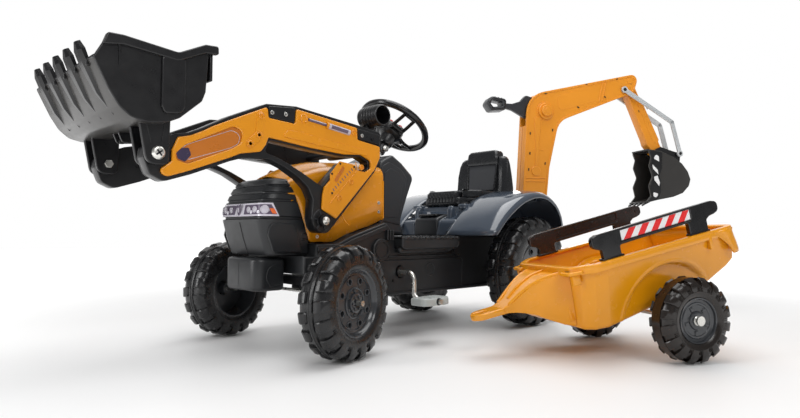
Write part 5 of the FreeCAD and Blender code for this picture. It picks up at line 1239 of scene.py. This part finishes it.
for side in (-1, 1):
    low, high = side * 31.5, side * 38.5
    path = [(395, 818), (605, 704), (640, 583)]
    if side < 0:
        for k, (a, b) in enumerate(((path[0], path[1]), (path[1], path[2]))):
            links.plate(f"link_bar_{k}", pill(a, b, 8.4), low, high, bevel=1.6, steps=1)
            direction = (Vector(b) - Vector(a)).normalized() * 12
            start, end = Vector(a) + direction, Vector(b) - direction
            links.plate(f"link_rib_{k}", pill(start, end, 3.4), high - side, high + side * 0.9, bevel=0.8,
                steps=1)
    else:
        for k, (a, b) in enumerate(((path[0], path[1]), (path[1], path[2]))):
            direction = (Vector(b) - Vector(a)).normalized()
            across = Vector((-direction.y, direction.x)) * 8
            for s in (-1, 1):
                start, end = Vector(a) + across * s, Vector(b) + across * s
                links.plate(f"truss_rail_{k}_{s}", pill(start, end, 1.7), low, high, bevel=0.6, steps=1)
            length = (Vector(b) - Vector(a)).length
            cells = max(4, int(length / 20))
            for c in range(cells):
                flip = 1 if c % 2 else -1
                start = Vector(a) + direction * (length * c / cells) + across * flip
                end = Vector(a) + direction * (length * (c + 1) / cells) - across * flip
                links.plate(f"truss_web_{k}_{c}", pill(start, end, 1.2), low + side, high - side,
                    bevel=0.5, steps=1)
            links.plate(f"truss_floor_{k}", pill(a, b, 7), low, low + side * 1.6, bevel=0.4, steps=1)
    for k, (x, z) in enumerate((path[0], path[2])):
        links.disc(f"link_eye_{side}_{k}", (x, z), 12.5, low, high + side * 0.5, bevel=1.5, bore=7.5)
        links.lathe(f"link_pin_{side}_{k}", [(-1, 0.1), (-1, 7.4), (6.6, 7.2), (8.2, 5.6), (7.4, 3.4),
            (7.6, 0.1)], material=BLACK, place=SWING @ facing(x, low, z, side), count=28, closed=False)
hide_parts("bucket_links")

profile = [(486, 592), (540, 588), (600, 566), (638, 542), (664, 512), (676, 482), (668, 456), (640, 428),
    (596, 412), (526, 399), (470, 387)]
inner_profile = [(486, 588), (540, 584), (597, 562), (634, 539), (659, 510), (670.5, 482), (663, 459),
    (637, 433), (594, 417), (526, 404), (471, 392)]
shell_outline = [(x, z, 6) for x, z in profile[:-1]] + [(470, 387, 1), (471, 392, 1)] + [(x, z, 6) for x,
    z in reversed(inner_profile[:-1])]
# shell and cheeks take the same lighter black: painted sheen
digger.plate("digger_bucket_shell", shell_outline, -49, 49, material=SKIN, bevel=1.2,
    nodes=("excavator_bucket",), slot="black_plastic")
MOUTH = [(486, 592, 3), (497, 560, 8), (488, 528, 14), (503, 490, 14), (486, 452, 14), (495, 415, 8),
    (470, 386, 3)]
for side in (-1, 1):
    cheek = MOUTH + [(526, 399), (596, 412, 40), (640, 428, 40), (668, 456, 30), (676, 482, 30),
        (664, 512, 40), (638, 542, 40), (600, 566, 40), (540, 588, 20)]
    digger.plate(f"digger_cheek_{side}", cheek, side * 44, side * 49.4, material=SKIN, bevel=1.6)
    strip = [(487, 588, 4), (499, 560, 8), (490, 528, 14), (505, 490, 14), (489, 452, 14), (497, 415, 8),
        (476, 390, 3), (526, 400, 4), (538, 424, 10), (540, 460, 14), (534, 490, 14), (544, 520, 14),
        (545, 556, 12), (548, 582, 6)]
    digger.plate(f"digger_strip_{side}", strip, side * 47, side * 52, bevel=1.4)
    for k, outline in enumerate(([(512, 566, 5), (519, 572, 6), (530, 566, 5), (531, 546), (508, 556)],
            [(501, 534), (524, 514), (527, 496), (503, 518)], [(508, 487, 1), (523, 492), (533, 466),
            (530, 452), (509, 474)], [(503, 428, 3), (523, 424), (524, 416, 4), (514, 408, 5),
            (504, 412, 5)])):
        digger.plate(f"digger_stripe_{side}_{k}", outline, side * 51.6, side * 52.5, material=WHITE,
            bevel=0.3)
for k in range(4):
    y = 40.5 - 27 * k
    digger.loft(f"digger_tooth_{k}", [[(492, y - 7, 396), (492, y + 7, 396), (490, y + 7, 389),
        (490, y - 7, 389)], [(474, y - 6, 391), (474, y + 6, 391), (472, y + 6, 381), (472, y - 6, 381)],
        [(462, y - 3.5, 380), (462, y + 3.5, 380), (462, y + 3.5, 375), (462, y - 3.5, 375)]], crisp=20)
for side in (-1, 1):
    digger.plate(f"digger_ear_{side}", [(535, 574, 4), (535, 597, 12), (561, 607, 10), (624, 591, 10),
        (652, 587, 8), (646, 540, 6), (610, 545, 6)], side * 19.5, side * 25.5, bevel=1.4)
digger.tube("digger_ear_bar", [(640, -24, 583), (640, 24, 583)], 6, bend=0)
digger.tube("digger_lip", [(487, -47, 591), (487, 47, 591)], 3, bend=0)


# ---------------------------------------------------------------- trailer
STATIONS = [(-188, 137, 118, 78), (-172, 139, 117, 68), (-120, 140, 112, 46), (150, 140, 104, 14),
    (178, 133, 97, 15), (196, 122, 88, 19), (203, 112, 80, 24)]


def tub_at(x):
    """The tub's half width at the lip and at the floor, and the height of its floor, at one x."""
    for (xa, *a), (xb, *b) in zip(STATIONS, STATIONS[1:]):
        if x <= xb:
            t = (x - xa) / (xb - xa)
            return [p + (q - p) * t for p, q in zip(a, b)]


def tub_section(x):
    """One cross-section of the tub, pressed in over the wheels, from the left lip to the right one."""
    top, bottom, low = tub_at(x)
    side = []
    for k in range(41):
        z = 156 - (156 - low - 14) * k / 40
        y = bottom + (top - bottom) * (z - low) / (156 - low)
        reach = math.hypot(x, z)
        blend = min(1.0, max(0.0, (118 - reach) / 5))
        y = y + (min(y, 112.0) - y) * blend * blend * (3 - 2 * blend)
        if 118 < reach < 126:
            y += 2.0 * math.sin((reach - 118) / 8 * math.pi)
        side.append((x, y, z))
    y_end, z_end = side[-1][1], side[-1][2]
    for k in range(1, 6):
        a = math.pi / 2 * k / 5
        side.append((x, y_end - 14 * (1 - math.cos(a)), z_end - 14 * math.sin(a)))
    side += [(x, side[-1][1] * (1 - k / 4), low) for k in range(1, 4)]
    side.append((x, 0, low))
    return side + flipped(side[:-1])


xs = sorted({station[0] for station in STATIONS} | set(range(-184, 203, 4)))
tub = trailer.loft("tub_shell", [tub_section(x) for x in xs], closed_ring=False, caps=True, crisp=40,
    nodes=("trailer_tub",), slot="tub_plastic")
thicken(tub, 0.0035)
LIP = [(-196, -142, 26), (180, -142, 46), (222, -104, 28), (222, 104, 28), (180, 142, 46), (-196, 142, 26)]
trailer.slab("tub_lip", LIP, 154, 161, bevel=2.6, holes=[inset(LIP, 15)])
trailer.slab("tub_lip_skirt", LIP, 143, 157, bevel=1.2, holes=[inset(LIP, 3.2)])


def tail_ring(z, start, back, half):
    """Plan outline of the turned-down rear edge at one height, open towards the front."""
    radius = 30
    points = [(start, half, z)]
    for k in range(9):
        angle = math.pi / 2 * (1 + k / 8)
        points.append((back + radius + radius * math.cos(angle), half - radius + radius * math.sin(angle),
            z))
    points.append((back, 0, z))
    return points + flipped(points[:-1])


tail = trailer.loft("tub_tail", [tail_ring(z, start, back, half) for z, start, back,
    half in ((158, -128, -196, 142), (150, -134, -198, 142.5), (136, -150, -200, 143), (120, -164, -203,
    143.5), (106, -171, -205, 143.5), (100, -174, -205, 143))], closed_ring=False, caps=False, crisp=60)
thicken(tail, 0.004)
for side in (1, -1):
    # latch tabs at the front corners and small clips under the rear of the lip
    trailer.slab(f"tub_latch_{side}", [(196, side * 86, 4), (232, side * 84, 5), (232, side * 118, 6),
        (206, side * 128, 5), (196, side * 120, 4)], 146, 153, bevel=1.8)
    trailer.block(f"tub_latch_leg_{side}", (206, side * 108, 124), (224, side * 118, 148), bevel=2)
    # near-black block on the tab: painted shade inside the latch slot
    trailer.block(f"tub_latch_slot_{side}", (212, side * 92, 152.6), (224, side * 104, 153.6),
        material=HOLE_SHADE, bevel=0.3)
    trailer.block(f"tub_clip_{side}", (-121, side * 134, 122), (-113, side * 143, 154), bevel=1.6)
for k in range(3):
    trailer.block(f"tub_floor_rib_{k}", (-150, -60 + 57 * k, 0), (150, -54 + 57 * k, 6), bevel=2,
        place=TRAILER @ at(0, 0, 27, (8.5, "Y")))

sections = []
for x, half, top, low, curl in ((204, 74, 150, 26, 3), (225, 66, 149, 34, 4), (255, 54, 146, 52, 5),
        (280, 44, 137, 68, 5), (300, 36, 126, 77, 5), (320, 31, 112, 83, 4), (336, 28, 104, 86, 3),
        (350, 26, 100, 86, 2)):
    ring = [(x, half - curl, top), (x, half, top - curl), (x, half * 0.96, (top + low) / 2 + 6),
        (x, half * 0.86, low + curl), (x, half * 0.8, low), (x, 0, low + (top - low) * 0.12)]
    sections.append(ring + flipped(ring[:-1]))
trailer.loft("drawbar_body", sections, crisp=34, nodes=("trailer_drawbar",), slot="tub_plastic")
trailer.slab("drawbar_eye", [(344, -26, 4), (400, -24, 18), (419, 0, 20), (400, 24, 18), (344, 26, 4)], 86,
    100, bevel=3, holes=[pill((384, 0), (398, 0), 8)])
trailer.tube("drawbar_hollow", [(212, 0, 151), (262, 0, 147), (298, 0, 129), (320, 0, 112)], 3, bend=30)
for side in (1, -1):
    trailer.tube(f"drawbar_edge_{side}", [(208, side * 70, 149), (256, side * 50, 145), (298, side * 33,
        127), (334, side * 25, 104)], 3.2, bend=20)
    trailer.block(f"drawbar_rib_{side}", (204, side * 62 - 3, 40), (216, side * 62 + 3, 130), bevel=2)

RAIL_SIDE = [(160, 186, 6), (172, 192, 12), (172, 212, 13), (158, 217, 6), (-150, 224, 6), (-166, 220, 13),
    (-166, 199, 12), (-152, 194, 6), (-138, 192, 6), (-129, 186, 4), (-129, 161, 1), (-78, 161, 1),
    (-78, 189, 5), (105, 184, 5), (105, 161, 1), (150, 161, 1), (150, 182, 5)]
WINDOW = [(98, 192, 2), (98, 213, 2), (-88, 218, 2), (-88, 196, 2)]
for side in (1, -1):
    # both rails are the same black part; the far one takes the lighter, warmer black as painted light
    material = BLACK_GLOSS if side > 0 else RAIL_FAR_PAINTED_LIGHT
    trailer.plate(f"rail_{side}", RAIL_SIDE, side * 119, side * 131, material=material, bevel=2.2,
        holes=[WINDOW])
    window = [(100, 190), (100, 215), (-90, 220), (-90, 194)]
    trailer.plate(f"rail_web_{side}", window, side * 122, side * 126.5, material=material, bevel=0.4)
    trailer.plate(f"rail_panel_{side}", window, side * 126, side * 128.5, material=WHITE, bevel=0.4)
    for k in range(4):
        trailer.disc(f"rail_boss_{side}_{k}", (84 - 50 * k, 204 + 2 * k), 4, side * 120, side * 123,
            material=material, bevel=0.8, bore=1.6, count=18)
    for k in range(6):
        start = 92 - 36 * k
        low_z, top_z = 192.4 + 0.02 * (98 - start), 213.2 + 0.027 * (98 - start)
        corners = [(start, low_z), (start - 18, low_z), (start - 36, top_z), (start - 18, top_z)]
        corners = [(min(97.5, max(-87.5, x)), z) for x, z in corners]
        if corners[0][0] - corners[1][0] < 1 and corners[3][0] - corners[2][0] < 1:
            continue
        trailer.plate(f"rail_stripe_{side}_{k}", corners, side * 128.2, side * 129, material=STRIPE_RED,
            bevel=0.1, steps=1)
    trailer.tube(f"rail_wire_{side}", [(104, side * 130, 189), (-84, side * 130, 193.5)], 1.8,
        material=material, bend=0)
    for k, x in enumerate((127, -104)):
        trailer.block(f"rail_foot_{side}_{k}", (x - 27, side * 125 - 7.5, 160), (x + 27, side * 125 + 7.5,
            165), material=material, bevel=1.5)
    for k, (x, z) in enumerate(((156, 206), (-151, 210))):
        trailer.disc(f"rail_rivet_{side}_{k}", (x, z), 4.5, side * 117.6, side * 120, material=material,
            bevel=0.8, bore=2, count=18)
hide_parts("trailer_rails")


# ---------------------------------------------------------------- stage
def floor_material():
    """Matt white, which glows a little more with distance so that the ground fades into white."""
    material = bpy.data.materials.new("studio_white")
    material.use_nodes = True
    nodes, links = material.node_tree.nodes, material.node_tree.links
    shader = nodes["Principled BSDF"]
    shader.inputs["Roughness"].default_value = 0.55
    place = nodes.new("ShaderNodeTexCoord")
    noise = nodes.new("ShaderNodeTexNoise")
    noise.inputs["Scale"].default_value = 3.0
    ramp = nodes.new("ShaderNodeMapRange")
    ramp.inputs["To Min"].default_value = 0.86
    ramp.inputs["To Max"].default_value = 0.88
    distance = nodes.new("ShaderNodeVectorMath")
    distance.operation = "LENGTH"
    glow = nodes.new("ShaderNodeMapRange")
    glow.interpolation_type = "SMOOTHSTEP"
    glow.inputs["From Min"].default_value = 0.9
    glow.inputs["From Max"].default_value = 3.2
    glow.inputs["To Min"].default_value = 0.0
    glow.inputs["To Max"].default_value = 0.95
    shader.inputs["Emission Color"].default_value = (1, 1, 1, 1)
    links.new(place.outputs["Object"], distance.inputs[0])
    links.new(distance.outputs["Value"], glow.inputs["Value"])
    links.new(glow.outputs["Result"], shader.inputs["Emission Strength"])
    links.new(place.outputs["Object"], noise.inputs["Vector"])
    links.new(noise.outputs["Fac"], ramp.inputs["Value"])
    links.new(ramp.outputs["Result"], shader.inputs["Base Color"])
    return material


sweep = []
for x in (-9000, -6000, -3000, 0, 3000, 6000, 9000):
    sweep.append([(x, 9000, -0.5), (x, 3000, -0.5), (x, 0, -0.5), (x, -3000, -0.5), (x, -9000, -0.5)])
floor = loft("floor", sweep, floor_material(), None, closed_ring=False, caps=False)


def light(name, place, aim, size, watts):
    """A rectangular soft light that points at an aim."""
    data = bpy.data.lights.new(name, "AREA")
    data.shape = "RECTANGLE"
    data.size, data.size_y = size
    data.energy = watts
    lamp = bpy.data.objects.new(name, data)
    lamp.location = place
    lamp.rotation_euler = (Vector(aim) - Vector(place)).to_track_quat("-Z", "Y").to_euler()
    bpy.context.scene.collection.objects.link(lamp)


light("top_softbox", (0.1, 0.3, 2.8), (0.2, 0.1, 0.2), (3.0, 1.8), 56)
light("key_softbox", (1.6, 3.0, 2.5), (0.2, 0.2, 0.35), (1.8, 1.2), 34)
light("front_strip", (3.2, -0.7, 1.2), (0.5, 0.0, 0.3), (0.8, 1.8), 30)
light("back_fill", (-2.6, -1.6, 1.6), (0.0, 0.0, 0.4), (1.2, 1.2), 12)


def studio_world():
    """A dim room whose far wall is a bright white sheet, so the picture's ground fades into white."""
    world = bpy.data.worlds.new("studio")
    world.use_nodes = True
    nodes, links = world.node_tree.nodes, world.node_tree.links
    place = nodes.new("ShaderNodeTexCoord")
    along = nodes.new("ShaderNodeVectorMath")
    along.operation = "DOT_PRODUCT"
    along.inputs[1].default_value = (-0.7, -0.7, -0.05)
    bright = nodes.new("ShaderNodeMapRange")
    bright.interpolation_type = "SMOOTHSTEP"
    bright.inputs["From Min"].default_value = 0.35
    bright.inputs["From Max"].default_value = 0.72
    bright.inputs["To Min"].default_value = 0.26
    bright.inputs["To Max"].default_value = 1.0
    links.new(place.outputs["Generated"], along.inputs[0])
    links.new(along.outputs["Value"], bright.inputs["Value"])
    links.new(bright.outputs["Result"], nodes["Background"].inputs["Strength"])
    nodes["Background"].inputs["Color"].default_value = (1, 1, 1, 1)
    return world


bpy.context.scene.world = studio_world()
bpy.context.scene.view_settings.view_transform = "Standard"

# ---------------------------------------------------------------- camera
camera_data = bpy.data.cameras.new("camera")
camera_data.lens = 26.62
camera_data.sensor_width = 36.0
camera = bpy.data.objects.new("camera", camera_data)
azimuth, rise, roll = math.radians(-135.01), 0.0416, 0.0039
heading = Vector((math.cos(azimuth) * math.sqrt(1 - rise * rise),
    math.sin(azimuth) * math.sqrt(1 - rise * rise), rise))
camera.matrix_world = (Matrix.Translation((1.5172, 1.2020, 0.2668)) @ heading.to_track_quat("-Z",
    "Y").to_matrix().to_4x4() @ Matrix.Rotation(roll, 4, "Z"))
bpy.context.scene.collection.objects.link(camera)
bpy.context.scene.camera = camera
